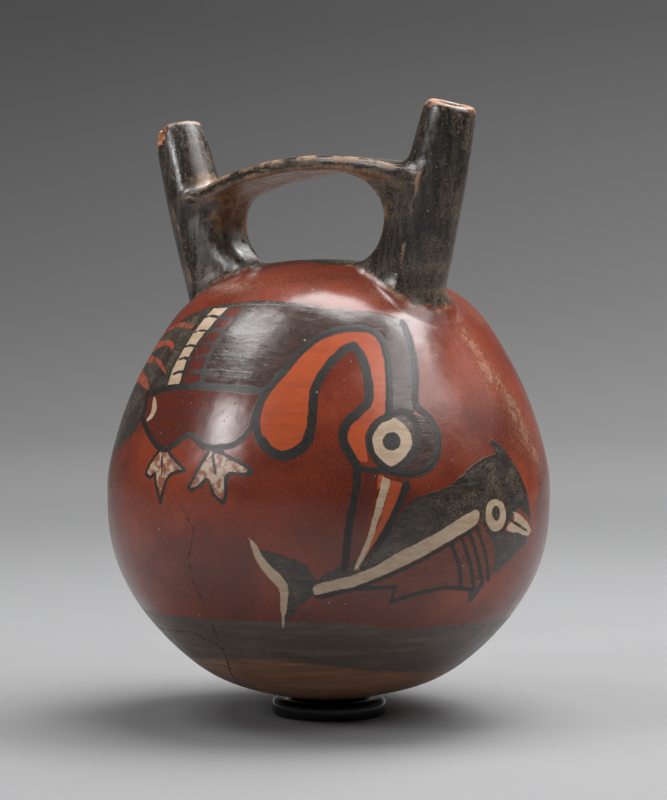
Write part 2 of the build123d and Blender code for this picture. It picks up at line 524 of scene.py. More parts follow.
def store(mesh, name, values):
    """A number for each vertex, for the materials to read."""
    attribute = mesh.attributes.get(name) or mesh.attributes.new(name, "FLOAT", "POINT")
    attribute.data.foreach_set("value", np.asarray(values, np.float32))


def shade(mesh, angle=40):
    """Smooth, but for the edges sharper than an angle in degrees."""
    mesh.polygons.foreach_set("use_smooth", np.ones(len(mesh.polygons), bool))
    mesh.set_sharp_from_angle(angle=math.radians(angle))
    mesh.update()


def skin(field, low, high, step):
    """A closed skin over the points where a field is negative, one point in each cell that it crosses."""
    low = np.array(low, float)
    counts = [int(math.ceil((high[i] - low[i]) / step)) + 1 for i in range(3)]
    axes = [low[i] + step * np.arange(counts[i]) for i in range(3)]
    grid = np.stack(np.meshgrid(*axes, indexing="ij"), -1)
    values = field(grid.reshape(-1, 3)).reshape(counts)
    values[values == 0] = 1e-9
    total = np.zeros([n - 1 for n in counts] + [3])
    crossed = np.zeros([n - 1 for n in counts])
    inside = values < 0
    quads = []
    for axis in range(3):
        a = [slice(None)] * 3
        b = [slice(None)] * 3
        a[axis], b[axis] = slice(None, -1), slice(1, None)
        start, end = values[tuple(a)], values[tuple(b)]
        changes = inside[tuple(a)] != inside[tuple(b)]
        share = np.where(changes, start / np.where(changes, start - end, 1), 0)
        place = grid[tuple(a)].copy()
        place[..., axis] += share * step
        others = [i for i in range(3) if i != axis]
        for first in (0, 1):
            for second in (0, 1):
                cut = [slice(None)] * 3
                cut[others[0]] = slice(first, counts[others[0]] - 1 + first)
                cut[others[1]] = slice(second, counts[others[1]] - 1 + second)
                found = changes[tuple(cut)]
                total += np.where(found[..., None], place[tuple(cut)], 0)
                crossed += found
        spot = np.argwhere(changes)
        keep = (spot[:, others[0]] > 0) & (spot[:, others[1]] > 0)
        keep &= (spot[:, others[0]] < counts[others[0]] - 1) & (spot[:, others[1]] < counts[others[1]] - 1)
        spot = spot[keep]
        corners = []
        for first, second in ((1, 1), (0, 1), (0, 0), (1, 0)):
            corner = spot.copy()
            corner[:, others[0]] -= first
            corner[:, others[1]] -= second
            corners.append(corner)
        outward = inside[tuple(spot.T)]
        if axis == 1:
            outward = ~outward
        quad = np.stack(corners, 1)
        quad[~outward] = quad[~outward][:, ::-1]
        quads.append(quad)
    number = np.full(crossed.shape, -1)
    used = crossed > 0
    number[used] = np.arange(used.sum())
    points = total[used] / crossed[used][:, None]
    quads = np.concatenate(quads)
    faces = number[tuple(quads.reshape(-1, 3).T)].reshape(-1, 4)
    for _ in range(4):
        points = points - onto(field, points, 0.5 * step)
    return points, faces


def slope_of(field, points, reach=0.05):
    """The field's gradient."""
    steps = np.eye(3) * reach
    return np.stack([(field(points + s) - field(points - s)) / (2 * reach) for s in steps], 1)


def onto(field, points, limit):
    """The step that takes each point onto the surface, no longer than a limit."""
    gradient = slope_of(field, points)
    square = np.maximum(np.einsum("ij,ij->i", gradient, gradient), 0.05)
    move = (field(points) / square)[:, None] * gradient
    length = np.linalg.norm(move, axis=1, keepdims=True)
    return move * np.minimum(1, limit / np.maximum(length, 1e-9))


# === Nodes ===


class Nodes:
    """Adds nodes to one tree. In the shaders' trees, sizes and places are in millimetres."""

    def __init__(self, tree):
        self.tree = tree

    def put(self, socket, value):
        if isinstance(value, bpy.types.NodeSocket):
            self.tree.links.new(value, socket)
        elif value is not None:
            socket.default_value = value

    def add(self, kind, inputs=None, **settings):
        made = self.tree.nodes.new(kind)
        for name, value in settings.items():
            setattr(made, name, value)
        for key, value in (inputs or {}).items():
            self.put(made.inputs[key], value)
        return made

    def maths(self, operation, *values, clamp=False):
        made = self.add("ShaderNodeMath", dict(enumerate(values)), operation=operation, use_clamp=clamp)
        return made.outputs[0]

    times = partialmethod(maths, "MULTIPLY")
    plus = partialmethod(maths, "ADD")
    minus = partialmethod(maths, "SUBTRACT")
    most = partialmethod(maths, "MAXIMUM")
    least = partialmethod(maths, "MINIMUM")

    def vector(self, operation, *values, output=0):
        return self.add("ShaderNodeVectorMath", dict(enumerate(values)), operation=operation).outputs[output]

    scaled = partialmethod(vector, "MULTIPLY")
    reach_along = partialmethod(vector, "DOT_PRODUCT", output="Value")

    def place(self):
        """Where on the piece a point is."""
        return self.scaled(self.add("ShaderNodeTexCoord").outputs["Object"], (1000.0, 1000.0, 1000.0))

    def mix(self, share, first, second, blend="MIX"):
        """A colour part of the way from the first to the second."""
        made = self.add("ShaderNodeMix", {0: share, 6: first, 7: second}, data_type="RGBA", blend_type=blend)
        return made.outputs[2]

    def between(self, share, first, second):
        """A number part of the way from the first to the second."""
        return self.add("ShaderNodeMix", {0: share, 2: first, 3: second}, data_type="FLOAT").outputs[0]

    def noise(self, place, size, detail=3.0, roughness=0.5, distortion=0.0):
        """Cloudy values about 0.5, with features of a size."""
        given = {"Vector": place, "Scale": 1 / size, "Detail": detail, "Roughness": roughness}
        given["Distortion"] = distortion
        return self.add("ShaderNodeTexNoise", given).outputs[0]

    def spread(self, value, low, high, to_low=0.0, to_high=1.0):
        """An eased step from to_low, at low, to to_high, at high."""
        given = {"Value": value, "From Min": low, "From Max": high, "To Min": to_low, "To Max": to_high}
        return self.add("ShaderNodeMapRange", given, interpolation_type="SMOOTHSTEP").outputs[0]

    def stored(self, name):
        return self.add("ShaderNodeAttribute", attribute_name=name).outputs["Fac"]

    def group(self, tree, **inputs):
        made = self.add("ShaderNodeGroup")
        made.node_tree = tree
        for name, value in inputs.items():
            self.put(made.inputs[name.replace("_", " ")], value)
        return made.outputs

    def surface(self, **inputs):
        """The material's shader, with its even values still to be set on its own sockets."""
        named = {name.replace("_", " "): value for name, value in inputs.items()}
        return self.add("ShaderNodeBsdfPrincipled", named)

    def finish(self, shader):
        self.add("ShaderNodeOutputMaterial", {"Surface": shader})


# === Geometry Nodes: a wall turned from its section ===


def turning_tree():
    """Turns a section, whose points are (radius, 0, height) in order, into a wall round the Z axis."""
    tree = bpy.data.node_groups.new("turned_wall", "GeometryNodeTree")
    new_socket = tree.interface.new_socket
    new_socket("Section", in_out="INPUT", socket_type="NodeSocketGeometry")
    steps = new_socket("Steps Around", in_out="INPUT", socket_type="NodeSocketInt")
    steps.default_value, steps.min_value = 96, 8
    weld = new_socket("Weld Distance", in_out="INPUT", socket_type="NodeSocketFloat")
    weld.default_value = 0.00001
    new_socket("Finish", in_out="INPUT", socket_type="NodeSocketMaterial")
    new_socket("Wall", in_out="OUTPUT", socket_type="NodeSocketGeometry")

    n = Nodes(tree)
    given, out = n.add("NodeGroupInput").outputs, n.add("NodeGroupOutput").inputs
    section, steps_around = given["Section"], given["Steps Around"]
    rows = n.add("GeometryNodeAttributeDomainSize", {"Geometry": section}).outputs["Point Count"]
    grid = n.add("GeometryNodeMeshGrid", {"Vertices X": n.plus(steps_around, 1), "Vertices Y": rows})
    index = n.add("GeometryNodeInputIndex").outputs[0]
    column = n.maths("FLOOR", n.maths("DIVIDE", n.plus(index, 0.5), rows))
    row = n.minus(index, n.times(column, rows))
    asked = {"Geometry": section, "Value": n.add("GeometryNodeInputPosition").outputs[0], "Index": row}
    sample = n.add("GeometryNodeSampleIndex", asked, data_type="FLOAT_VECTOR")
    place = n.add("ShaderNodeSeparateXYZ", {0: sample.outputs[0]}).outputs
    angle = n.times(n.maths("DIVIDE", column, steps_around), 2 * math.pi)
    x = n.times(place["X"], n.maths("SINE", angle))
    y = n.times(place["X"], n.times(n.maths("COSINE", angle), -1.0))
    turned = n.add("ShaderNodeCombineXYZ", {"X": x, "Y": y, "Z": place["Z"]}).outputs[0]
    made = grid.outputs["Mesh"]
    for kind, inputs in (
        ("GeometryNodeSetPosition", {"Position": turned}),
        ("GeometryNodeMergeByDistance", {"Distance": given["Weld Distance"]}),
        ("GeometryNodeRealizeInstances", {}),
        ("GeometryNodeSetMaterial", {"Material": given["Finish"]}),
    ):
        made = n.add(kind, {"Geometry": made, **inputs}).outputs[0]
    n.put(out["Wall"], made)
    return tree


turned_wall = turning_tree()


def turn(name, section, steps, finish):
    """The wall that a section makes, as a plain mesh."""
    section = np.asarray(section, float)
    line = bpy.data.meshes.new(name + "_section")
    flat = np.stack([section[:, 0], np.zeros(len(section)), section[:, 1]], 1)
    line.from_pydata([tuple(p) for p in flat * MM], [], [])
    carrier = link(name + "_section", line)
    modifier = carrier.modifiers.new("turned", "NODES")
    modifier.node_group = turned_wall
    sockets = {s.name: s.identifier for s in turned_wall.interface.items_tree if s.in_out == "INPUT"}
    modifier[sockets["Steps Around"]] = steps
    modifier[sockets["Finish"]] = finish
    mesh = made_by_modifiers(carrier)
    mesh.name = name
    carrier.modifiers.clear()
    bpy.data.objects.remove(carrier)
    bpy.data.meshes.remove(line)
    outward(mesh)
    return mesh


def outward(mesh):
    """Every face points out of the closed shell."""
    work = bmesh.new()
    work.from_mesh(mesh)
    bmesh.ops.recalc_face_normals(work, faces=work.faces)
    if work.calc_volume(signed=True) < 0:
        bmesh.ops.reverse_faces(work, faces=work.faces)
    work.to_mesh(mesh)
    work.free()


# === The walls of the body ===


def course_section(low, high):
    """The closed section of a wall course between two heights."""
    outside = evenly(between_levels(outer_outline, low, high), wall_step)
    inside = evenly(between_levels(inner_outline, low, high), inner_step)[::-1]
    return np.vstack([outside, inside, outside[:1]])


def bowl_section():
    outside = evenly(between_levels(outer_outline, bottom_level, bowl_joint_level), plain_step)
    inside = evenly(between_levels(inner_outline, bottom_level + base_wall, bowl_joint_level), inner_step)
    outside[0, 0] = inside[0, 0] = 0
    return np.vstack([outside, inside[::-1]])


def patch_edges():
    """Where the cone that parts the crown patch from the shoulder meets the outside and the inside."""
    slope = math.tan(math.radians(patch_taper))
    edges = []
    for outline in (outer_outline, inner_outline):
        top = outline[outline[:, 1] > shoulder_joint_level]
        gap = top[:, 0] - (patch_radius + (top[:, 1] - crown_level) * slope)
        i = np.argmax(gap < 0)
        share = gap[i - 1] / (gap[i - 1] - gap[i])
        edges.append(top[i - 1] + share * (top[i] - top[i - 1]))
    return edges


def shoulder_section():
    outer_edge, inner_edge = patch_edges()
    outside = between_levels(outer_outline, shoulder_joint_level, outer_edge[1])
    inside = between_levels(inner_outline, shoulder_joint_level, inner_edge[1])
    outside, inside = evenly(outside, wall_step), evenly(inside, inner_step)[::-1]
    return np.vstack([outside, inside, outside[:1]])


def patch_section():
    outer_edge, inner_edge = patch_edges()
    outside = evenly(between_levels(outer_outline, outer_edge[1], crown_level), plain_step)
    inside = evenly(between_levels(inner_outline, inner_edge[1], crown_level - wall), inner_step)
    outside[-1, 0] = inside[-1, 0] = 0
    return np.vstack([inside[::-1], outside])


def press_by_hand(mesh):
    """Lets the wall wander a little inside its turned form."""
    points = points_of(mesh)
    out = np.hypot(points[:, 0], points[:, 1])
    level = np.array([outer_outline[:, 1], outer_outline[:, 0]])
    heights = np.stack([points[:, 2] + d for d in (-0.5, 0.5)])
    radii = np.interp(heights, *level)
    up = radii[0] - radii[1]
    size = np.hypot(1.0, up)
    middle = (points[:, 2] - bottom_level) / (crown_level - bottom_level)
    flat = np.clip(np.maximum(ease(middle, 0.93, 0.99), ease(0.07 - middle, 0.0, 0.06)), 0, 1)
    sideways = [points[:, i] / np.maximum(out, 1e-6) / size * (1 - flat) for i in (0, 1)]
    upward = up / size * (1 - flat) + flat * np.sign(middle - 0.5)
    normal = np.stack([*sideways, upward], 1)
    move_points(mesh, points - normal * hand_wobble(points)[:, None])


def cut_spout_hole(mesh, spout):
    """A hole through the shoulder, hidden in the spout's wall."""
    before = bpy.data.meshes.new("drill")
    hole, depth = 0.5 * (bore_radius + foot_radius) * MM, 60 * MM
    work = bmesh.new()
    bmesh.ops.create_cone(work, cap_ends=True, segments=48, radius1=hole, radius2=hole, depth=depth)
    turn_to = Vector((0, 0, 1)).rotation_difference(Vector(spout.axis)).to_matrix()
    bmesh.ops.rotate(work, cent=(0, 0, 0), matrix=turn_to, verts=work.verts)
    bmesh.ops.translate(work, vec=Vector(spout.foot - spout.axis * 12) * MM, verts=work.verts)
    work.to_mesh(before)
    work.free()
    drill, body = link("drill", before), link("drilled", mesh)
    cut = body.modifiers.new("hole", "BOOLEAN")
    cut.operation, cut.solver, cut.object = "DIFFERENCE", "MANIFOLD", drill
    result = made_by_modifiers(body)
    for thing in (body, drill):
        bpy.data.objects.remove(thing)
    bpy.data.meshes.remove(before)
    result.name = mesh.name
    return result


# === The spouts, the clay at their feet, the webs and the strap ===

overlap = 0.8  # how far two neighbouring pieces run into each other, unseen
sink = 0.07  # how far a piece dips under its neighbour there


def cut_to(region):
    """A piece of the smoothed clay: it dips under the shared surface as it nears its own edge."""

    def field(points):
        edge = region(points) - overlap
        return np.maximum(clay_field(points) + sink * ease(edge, -2 * overlap, 0), edge)

    return field


def spout_region(spout):
    def region(points):
        return np.maximum(spout.beyond_side(points) - 0.3, -body_field(points) - wall + overlap)

    return region


def outside_spouts(points):
    return -np.minimum(spout_region(left_spout)(points), spout_region(right_spout)(points))


def luting_region(spout):
    def region(points):
        beyond = spout.reach(points)[1] - foot_radius
        return np.maximum(beyond - luting_width, body_field(points) - luting_width)

    return region


def feet_region(points):
    return np.minimum(luting_region(left_spout)(points), luting_region(right_spout)(points))


def strap_underside(points):
    return -(strap.height(points) + strap_thickness / 2)


def luting_piece(spout):
    def region(points):
        clear = [luting_region(spout)(points), outside_spouts(points), -body_field(points)]
        return np.maximum.reduce(clear)

    return region


def strap_piece(points):
    return np.maximum.reduce(
        [strap_underside(points), outside_spouts(points), between_axes(points), -feet_region(points)]
    )


def web_piece(spout):
    side = math.copysign(1, spout.foot[0])

    def region(points):
        return np.maximum.reduce(
            [
                -strap_underside(points),
                outside_spouts(points),
                -feet_region(points),
                -body_field(points),
                web_field(points) - 4.0,
                between_axes(points),
                -side * points[:, 0],
            ]
        )

    return region


blended_pieces = {
    "left_spout": (spout_region(left_spout), (-76, -20, 108), (-30, 10, 187)),
    "right_spout": (spout_region(right_spout), (24, -20, 108), (66, 10, 190)),
    "left_foot_luting": (luting_piece(left_spout), (-72, -26, 116), (-24, 17, 152)),
    "right_foot_luting": (luting_piece(right_spout), (17, -26, 116), (64, 17, 152)),
    "bridge_strap": (strap_piece, (-60, -20, 150), (58, 10, 178)),
    "left_bridge_web": (web_piece(left_spout), (-60, -18, 130), (3, 8, 172)),
    "right_bridge_web": (web_piece(right_spout), (-3, -18, 130), (56, 8, 174)),
}


def largest_part(points, faces):
    """Only the largest connected part of a mesh."""
    label = np.arange(len(points))
    edges = np.concatenate([faces[:, [i, (i + 1) % 4]] for i in range(4)])
    while True:
        least = label.copy()
        np.minimum.at(least, edges[:, 0], label[edges[:, 1]])
        np.minimum.at(least, edges[:, 1], label[edges[:, 0]])
        least = least[least]
        if (least == label).all():
            break
        label = least
    names, counts = np.unique(label, return_counts=True)
    keep = label == names[np.argmax(counts)]
    number = np.cumsum(keep) - 1
    return points[keep], number[faces[keep[faces].all(1)]]


def blended_mesh(name):
    region, low, high = blended_pieces[name]
    points, faces = largest_part(*skin(cut_to(region), low, high, neck_step))
    mesh = mesh_from(name, points, faces)
    outward(mesh)
    return mesh


# === The painted figures ===

# Each shape: its name, the slip it is painted in, the width of its line, or 0 for a filled shape,
# the points that are corners, and its outline as (azimuth, height). The slips lie over each other
# in the order of paint_order.
paint_order = ["wash", "dark", "maroon", "red", "orange", "ochre", "cream", "flesh", "line"]

bird_and_fish = [
    ("wing", "wash", 0, (0, 16, 17, 18, 19), [
        (-25.2, 123.6), (-15.4, 126.3), (-2, 127.8), (11.6, 128.7), (23.8, 128.1), (34.9, 127),
        (44.1, 126.4), (52.1, 125.8), (60.5, 124.9), (66, 122.5), (67.2, 117.3), (66, 106.9),
        (63.9, 98.7), (60.9, 95.6), (55.6, 95.7), (56.7, 104.5), (57.3, 111.6), (56.5, 117.4),
        (54, 120), (48.7, 120.6), (42.4, 120), (36.6, 117.7), (32.2, 113.9), (28.5, 108.8),
        (25.5, 104.5), (22.6, 102.8), (16.7, 102.7), (6, 103.1), (-5.5, 103.4), (-22.4, 101.1),
        (-38, 103), (-50, 105.5), (-56, 108.5), (-50, 113), (-42, 117.5),
    ]),
    ("wing root", "dark", 0, (0, 6, 10), [
        (-9.3, 126.6), (-10.4, 123.9), (-11.8, 120.6), (-12.8, 116.5), (-13.7, 112), (-14.1, 108.2),
        (-13, 103.5), (-22.4, 101.1), (-38, 103), (-50, 105.5), (-56, 108.5), (-50, 113), (-42, 117.5),
        (-25.2, 123.6), (-15.4, 126.3),
    ]),
    ("wing top", "dark", 1.43, (), [
        (-14.8, 126), (-1.6, 127.5), (12, 128.3), (24, 127.8), (33, 126.9),
    ]),
    ("wing bar0", "dark", 1.74, (), [
        (-4.8, 112.2), (1.8, 112.4), (9.5, 112.2), (15.5, 111.8),
    ]),
    ("wing bar1", "dark", 1.87, (), [
        (-4.7, 107.5), (3.9, 107.9), (11.1, 107.5), (17, 107.3),
    ]),
    ("wing under", "line", 2.33, (), [
        (-23, 100.8), (-12.7, 102.8), (-4.7, 103.6), (3, 103.7), (13.2, 103.3), (22.1, 102.6),
    ]),
    ("tail", "dark", 0, (0, 5), [
        (-38, 104.2), (-48, 108.5), (-56, 108), (-58, 103), (-53, 93), (-46.5, 79.5), (-26.4, 87.5),
        (-21.2, 93.4), (-20.6, 96.4), (-26.7, 101.6),
    ]),
    ("stripe", "cream", 0, (0, 1, 6, 7), [
        (-9, 126.5), (-1.4, 126.8), (-4, 123.1), (-6.4, 119.1), (-8.2, 115.1), (-9, 110.7),
        (-7.8, 103.9), (-13.2, 103.5), (-14, 108.2), (-13.7, 112.1), (-13, 116.6), (-11.8, 120.6),
        (-10.5, 124),
    ]),
    ("tick1", "line", 0.93, (), [
        (-10.4, 123.9), (-7.4, 124.3), (-3.8, 124),
    ]),
    ("tick2", "line", 0.93, (), [
        (-11.7, 119.5), (-8.8, 119.9), (-6.1, 119.8),
    ]),
    ("tick3", "line", 0.93, (), [
        (-13.6, 115), (-10.7, 115.5), (-7.4, 115.2),
    ]),
    ("tick4", "line", 0.93, (), [
        (-13.1, 111.3), (-10.8, 111.8), (-8.4, 111.5),
    ]),
    ("tick5", "line", 0.99, (), [
        (-12.6, 107), (-10.3, 107.7), (-7.8, 107.6),
    ]),
    ("comb", "maroon", 0, (0, 1, 7, 8), [
        (-0.5, 126.6), (6.9, 126.9), (4.8, 122.6), (2.4, 118.7), (0.7, 115.5), (-0.1, 111.9),
        (-0.1, 107.5), (1, 104.1), (-6.6, 103.9), (-6.8, 109.8), (-6.2, 114.7), (-3.9, 119.1),
        (-1.5, 123.1),
    ]),
    ("comb left", "line", 1.12, (), [
        (-0.8, 126.9), (-2.7, 123.1), (-5, 119.1), (-7.2, 114.9), (-7.8, 110.4), (-6.9, 103.9),
    ]),
    ("comb right", "line", 1.43, (), [
        (7.1, 126.6), (4.8, 122.6), (2.4, 118.7), (0.7, 115.5), (-0.1, 111.9), (0.1, 107.5), (1, 104.4),
    ]),
    ("belly", "maroon", 0, (0, 4), [
        (-26.7, 101.6), (-5.3, 103.1), (6, 103.1), (16.7, 102.7), (22.6, 102.8), (20.3, 98.8),
        (19.8, 94.5), (19.7, 92.5), (15, 87.6), (6.7, 86.4), (0.5, 89.4), (-4.4, 86), (-8.2, 85.2),
        (-11.8, 87.1), (-20.6, 93.5), (-20.6, 96.4),
    ]),
    ("belly edge", "line", 1.87, (0, 14), [
        (22.6, 102.8), (20.8, 99), (19.8, 94.5), (19.5, 92.2), (15.1, 87.3), (7.3, 86.5), (4.4, 88.4),
        (1.2, 89.7), (-2, 87.8), (-5.4, 85.4), (-8.2, 85.5), (-11.8, 87.1), (-20.6, 93.5), (-21, 96.4),
        (-23.9, 101.1),
    ]),
    ("curl", "cream", 0, (), [
        (-18.4, 100.2), (-16, 98.7), (-14.7, 96.1), (-15.7, 94), (-17.6, 92.9), (-18.2, 93.6),
        (-17, 95.4), (-17.8, 98),
    ]),
    ("neck", "orange", 0, (0,), [
        (34.6, 89.3), (31.2, 86.4), (26.4, 85.5), (23.1, 88), (21.6, 93.1), (21.6, 97.6), (23.8, 102.8),
        (27.8, 107.6), (31.4, 112.5), (36.6, 116.8), (42.4, 119.1), (48.6, 119.7), (53.8, 119.1),
        (56.3, 116.2), (56.9, 111), (56.1, 104.5), (55.1, 96.3), (52, 94), (49.4, 89), (49.4, 82.8),
        (45.3, 84.8), (43.9, 90.4), (45.5, 94.4), (48.9, 97.2), (50.9, 100.6), (51.2, 107.1),
        (50.2, 112.8), (47.9, 116.2), (44.4, 114.2), (40.4, 111.1), (36.5, 105.7), (35.4, 96.9),
    ]),
    ("neck outer", "line", 2.36, (), [
        (34.6, 88.7), (32.2, 86.3), (28.7, 84.7), (25.9, 85.3), (22.9, 88), (21, 93.1), (21.2, 98.5),
        (23.4, 103.6), (27.3, 108.8), (31, 113.5), (36.3, 117.8), (42.4, 120.1), (48.7, 120.7),
        (54, 120.1), (57.1, 117.1), (57.8, 111.6), (57.1, 104.5), (56, 96.5),
    ]),
    ("neck foot", "line", 2.86, (), [
        (23.1, 88.6), (25.4, 85.8), (28.7, 84.4), (32.2, 85.6), (34.6, 88.2), (35.3, 91.3),
    ]),
    ("neck inner", "line", 2.74, (7,), [
        (34.6, 88.7), (35.6, 93.2), (35.9, 98.9), (36.3, 103.7), (38.9, 108.8), (42.2, 112.5),
        (45, 114.7), (47.9, 115.8), (50, 112.5), (51.1, 107.1), (50.9, 100.6), (48.5, 97.5),
        (45.3, 94.5), (43.9, 91.8), (43.8, 88.5), (45.3, 84.8), (47.1, 81.4),
    ]),
    ("chin", "line", 1.87, (), [
        (46.6, 81.1), (50.5, 80.4), (54.5, 79.9),
    ]),
    ("head", "wash", 0, (), [
        (62.1, 96.2), (66.2, 94.9), (69.2, 91.1), (69.4, 87.1), (67.4, 82.9), (63.8, 79.6),
        (59.8, 78.9), (55.7, 79.6), (53.5, 81), (51.2, 83.9), (50.1, 88.7), (51.7, 93.2), (55.6, 95.7),
    ]),
    ("head edge", "line", 2.36, (), [
        (66.4, 122.5), (66.9, 117.3), (66.5, 111.5), (65.4, 105.8), (64, 99), (66.9, 95.5),
        (68.9, 91.4), (68.7, 86.9), (66.5, 82.1), (62.9, 79.4), (58.7, 79.2), (55.5, 79.9),
    ]),
    ("cheek edge", "line", 2.18, (), [
        (55.7, 96), (59.1, 96.9), (61.8, 96.2), (63.3, 92.7), (63, 87.9), (60.4, 83.7), (56, 80.1),
    ]),
    ("eye", "cream", 0, (), [
        (56.9, 95.2), (60, 93.1), (61.4, 89.9), (61.1, 87.1), (59.1, 84), (55.5, 81.4), (53, 82.8),
        (51.3, 85.7), (50.8, 89), (51.9, 92.3), (54.2, 94.6),
    ]),
    ("pupil", "line", 0, (), [
        (56.3, 91.1), (57.8, 90.4), (58.4, 88.6), (57.6, 86.7), (55.9, 85.9), (54.2, 86.7),
        (53.6, 88.5), (54.5, 90.5),
    ]),
    ("eye ring", "line", 2.11, (), [
        (55.9, 95.5), (53.1, 94.3), (50.8, 91.5), (50.1, 88.4), (51, 84.7), (53.1, 81.9), (55.3, 80.4),
    ]),
    ("beak left", "maroon", 0, (0, 1, 3, 4), [
        (47.8, 80.5), (52.2, 79.4), (49.1, 66.3), (45, 51.6), (44.2, 52.2), (45.8, 66.4),
    ]),
    ("beak spot", "orange", 0, (0, 1, 2, 3), [
        (52, 79.4), (53.6, 78.9), (52.3, 75.4), (51.5, 74.3),
    ]),
    ("beak mid", "cream", 0, (0, 1, 4, 5), [
        (53, 78.6), (55.2, 77.7), (52.5, 68), (50.2, 60), (47.6, 52.5), (46, 51.6), (49.2, 61.2),
        (51.3, 70.3),
    ]),
    ("beak right", "orange", 0, (0, 1, 4, 5), [
        (55.1, 77.6), (58.3, 76.4), (55.2, 68.2), (51.6, 60.5), (47.9, 51.9), (46.9, 51.3),
        (50.2, 60.3), (52.8, 68),
    ]),
    ("beak l", "line", 2.3, (), [
        (47.1, 81.7), (46.5, 74.9), (44.8, 63.5), (43.9, 52.2),
    ]),
    ("beak r", "line", 2.3, (), [
        (59.1, 76.4), (56.2, 68.5), (53.1, 61.4), (48.4, 52.7),
    ]),
    ("fish back", "dark", 0, (0, 9, 10, 16, 17, 28), [
        (36.9, 49), (42.8, 53.1), (48, 56), (53.5, 61.9), (59.5, 70.9), (65, 73.6), (71.2, 75.7),
        (77.3, 80.5), (82.4, 82.9), (87.6, 83.8), (86.1, 87.1), (86.4, 88.1), (88.6, 87.3),
        (92.2, 83.8), (96.5, 77.4), (99.8, 70), (101.9, 63.3), (95.2, 67.4), (90, 63.7), (83.2, 62.7),
        (79, 65.1), (72.1, 61.7), (57.5, 54.5), (45.3, 49.5), (40.3, 46), (36.8, 44.8), (33.6, 42),
        (29.5, 37.3), (27.6, 36), (29.2, 42.8), (28.3, 47.3), (25.1, 52.9), (22.8, 57.5), (29.9, 55.6),
        (34.3, 53.4),
    ]),
    ("fish stripe", "cream", 0, (), [
        (36.9, 47.5), (45.3, 50.1), (51.6, 53), (57.4, 56.9), (65.6, 61.2), (73.4, 65.9), (78, 67.9),
        (79.6, 67.2), (79.4, 65.1), (77.2, 62.9), (70.2, 59.2), (62.7, 54.9), (54.2, 50.5),
        (47.9, 47.1), (38.3, 44.6), (36.3, 44.8),
    ]),
    ("fish belly", "ochre", 0, (0, 10, 12, 13), [
        (38.3, 44.8), (45.9, 46.9), (54.5, 50.5), (68.3, 58.1), (79.1, 63.9), (82.6, 61.3),
        (85.3, 56.4), (86.5, 50.9), (85.5, 46.8), (79.6, 44.5), (67.9, 45.7), (61.7, 43.6), (56.4, 42),
        (56.9, 46.3), (46.4, 45.9),
    ]),
    ("fish cheek", "dark", 0, (0, 5, 7), [
        (79.1, 63.9), (81.9, 61.4), (85.1, 57.3), (86.5, 50.9), (85.5, 46.8), (79.8, 44.2),
        (80.6, 40.5), (82.1, 40.3), (86.1, 47.3), (92.1, 51.6), (98.7, 55.8), (100.2, 58.9),
        (95.5, 61.8), (89.4, 60.8), (86.8, 64.5),
    ]),
    ("fish under", "line", 1.24, (), [
        (36.8, 43.9), (46.4, 46.1), (57.2, 46.6),
    ]),
    ("fish spike", "line", 0, (0, 2, 4, 6, 8), [
        (56.9, 46.9), (57.3, 46.2), (57.1, 42.6), (61.6, 44.1), (61.7, 43.3), (56.8, 41.4),
        (55.3, 40.1), (56.1, 42.7), (56.4, 46.3),
    ]),
    ("fish low", "line", 1.31, (0,), [
        (57.2, 42.3), (61.6, 43.8), (68, 45.2), (72.8, 45.4), (80.5, 44.2),
    ]),
    ("gill1", "line", 1.37, (), [
        (71.3, 58.8), (74.2, 51.9), (76.8, 44.8),
    ]),
    ("gill2", "line", 1.37, (), [
        (74.2, 60.1), (77.5, 52.8), (81, 44.7),
    ]),
    ("gill3", "line", 1.37, (), [
        (76.6, 61.4), (80, 53.8), (83.6, 45.7),
    ]),
    ("gill4", "line", 1.31, (), [
        (79.1, 62.4), (82.6, 54.8), (85.9, 46.7),
    ]),
    ("fish eye", "cream", 0, (), [
        (85.5, 70.9), (88, 69.5), (89.3, 66.4), (88.8, 63.2), (86.6, 61.3), (84.4, 61.5), (82.3, 63.7),
        (81.7, 67), (82.8, 70.1),
    ]),
    ("fish pupil", "line", 0, (), [
        (85.6, 68.7), (86.7, 67.8), (86.9, 65.7), (86, 64.4), (84.7, 64.8), (83.9, 66.8), (84.4, 68.2),
    ]),
    ("fish eye ring", "line", 1.31, (), [
        (85.6, 71.5), (88.6, 69.9), (90.1, 66.4), (89.5, 62.7), (86.8, 60.7), (84, 60.9), (81.6, 63.4),
        (81, 67), (82.3, 70.7), (85.6, 71.5),
    ]),
    ("fish mouth", "cream", 0, (0,), [
        (92, 66.8), (95.8, 65.3), (100.2, 62.2), (102.1, 60), (100.2, 58.6), (95.3, 60), (90.6, 61),
        (90.3, 62.8), (93, 64.3),
    ]),
    ("mouth l", "line", 0.87, (), [
        (91.2, 64.2), (95.5, 62.1), (100, 60.2),
    ]),
    ("tail edge", "cream", 0, (0, 6), [
        (20.4, 60.9), (22.3, 58.9), (24.7, 54), (28, 50.3), (29.8, 46.5), (29, 41), (26.9, 33.7),
        (27.2, 40.9), (27.4, 45.8), (24.9, 49.6), (22.1, 54.5),
    ]),
    ("stripe under", "line", 1.24, (), [
        (37.8, 43.6), (45.4, 46), (54.5, 49.8), (63.1, 54.2), (70.5, 58.5), (79.1, 63.2),
    ]),
    ("foot left", "flesh", 0, (4, 5, 8, 10, 12), [
        (-7, 85.7), (-5.5, 85.4), (-3.9, 83.7), (-0.6, 81.5), (1.8, 79.6), (-2.2, 78.7), (-3.8, 77.2),
        (-4.9, 73.5), (-5.9, 70), (-7.7, 76.2), (-8.4, 78.4), (-10.3, 77.2), (-12.2, 77.8),
        (-11.3, 80.4), (-9.1, 83.9),
    ]),
    ("foot left edge", "line", 1.12, (4, 5, 8, 10, 12), [
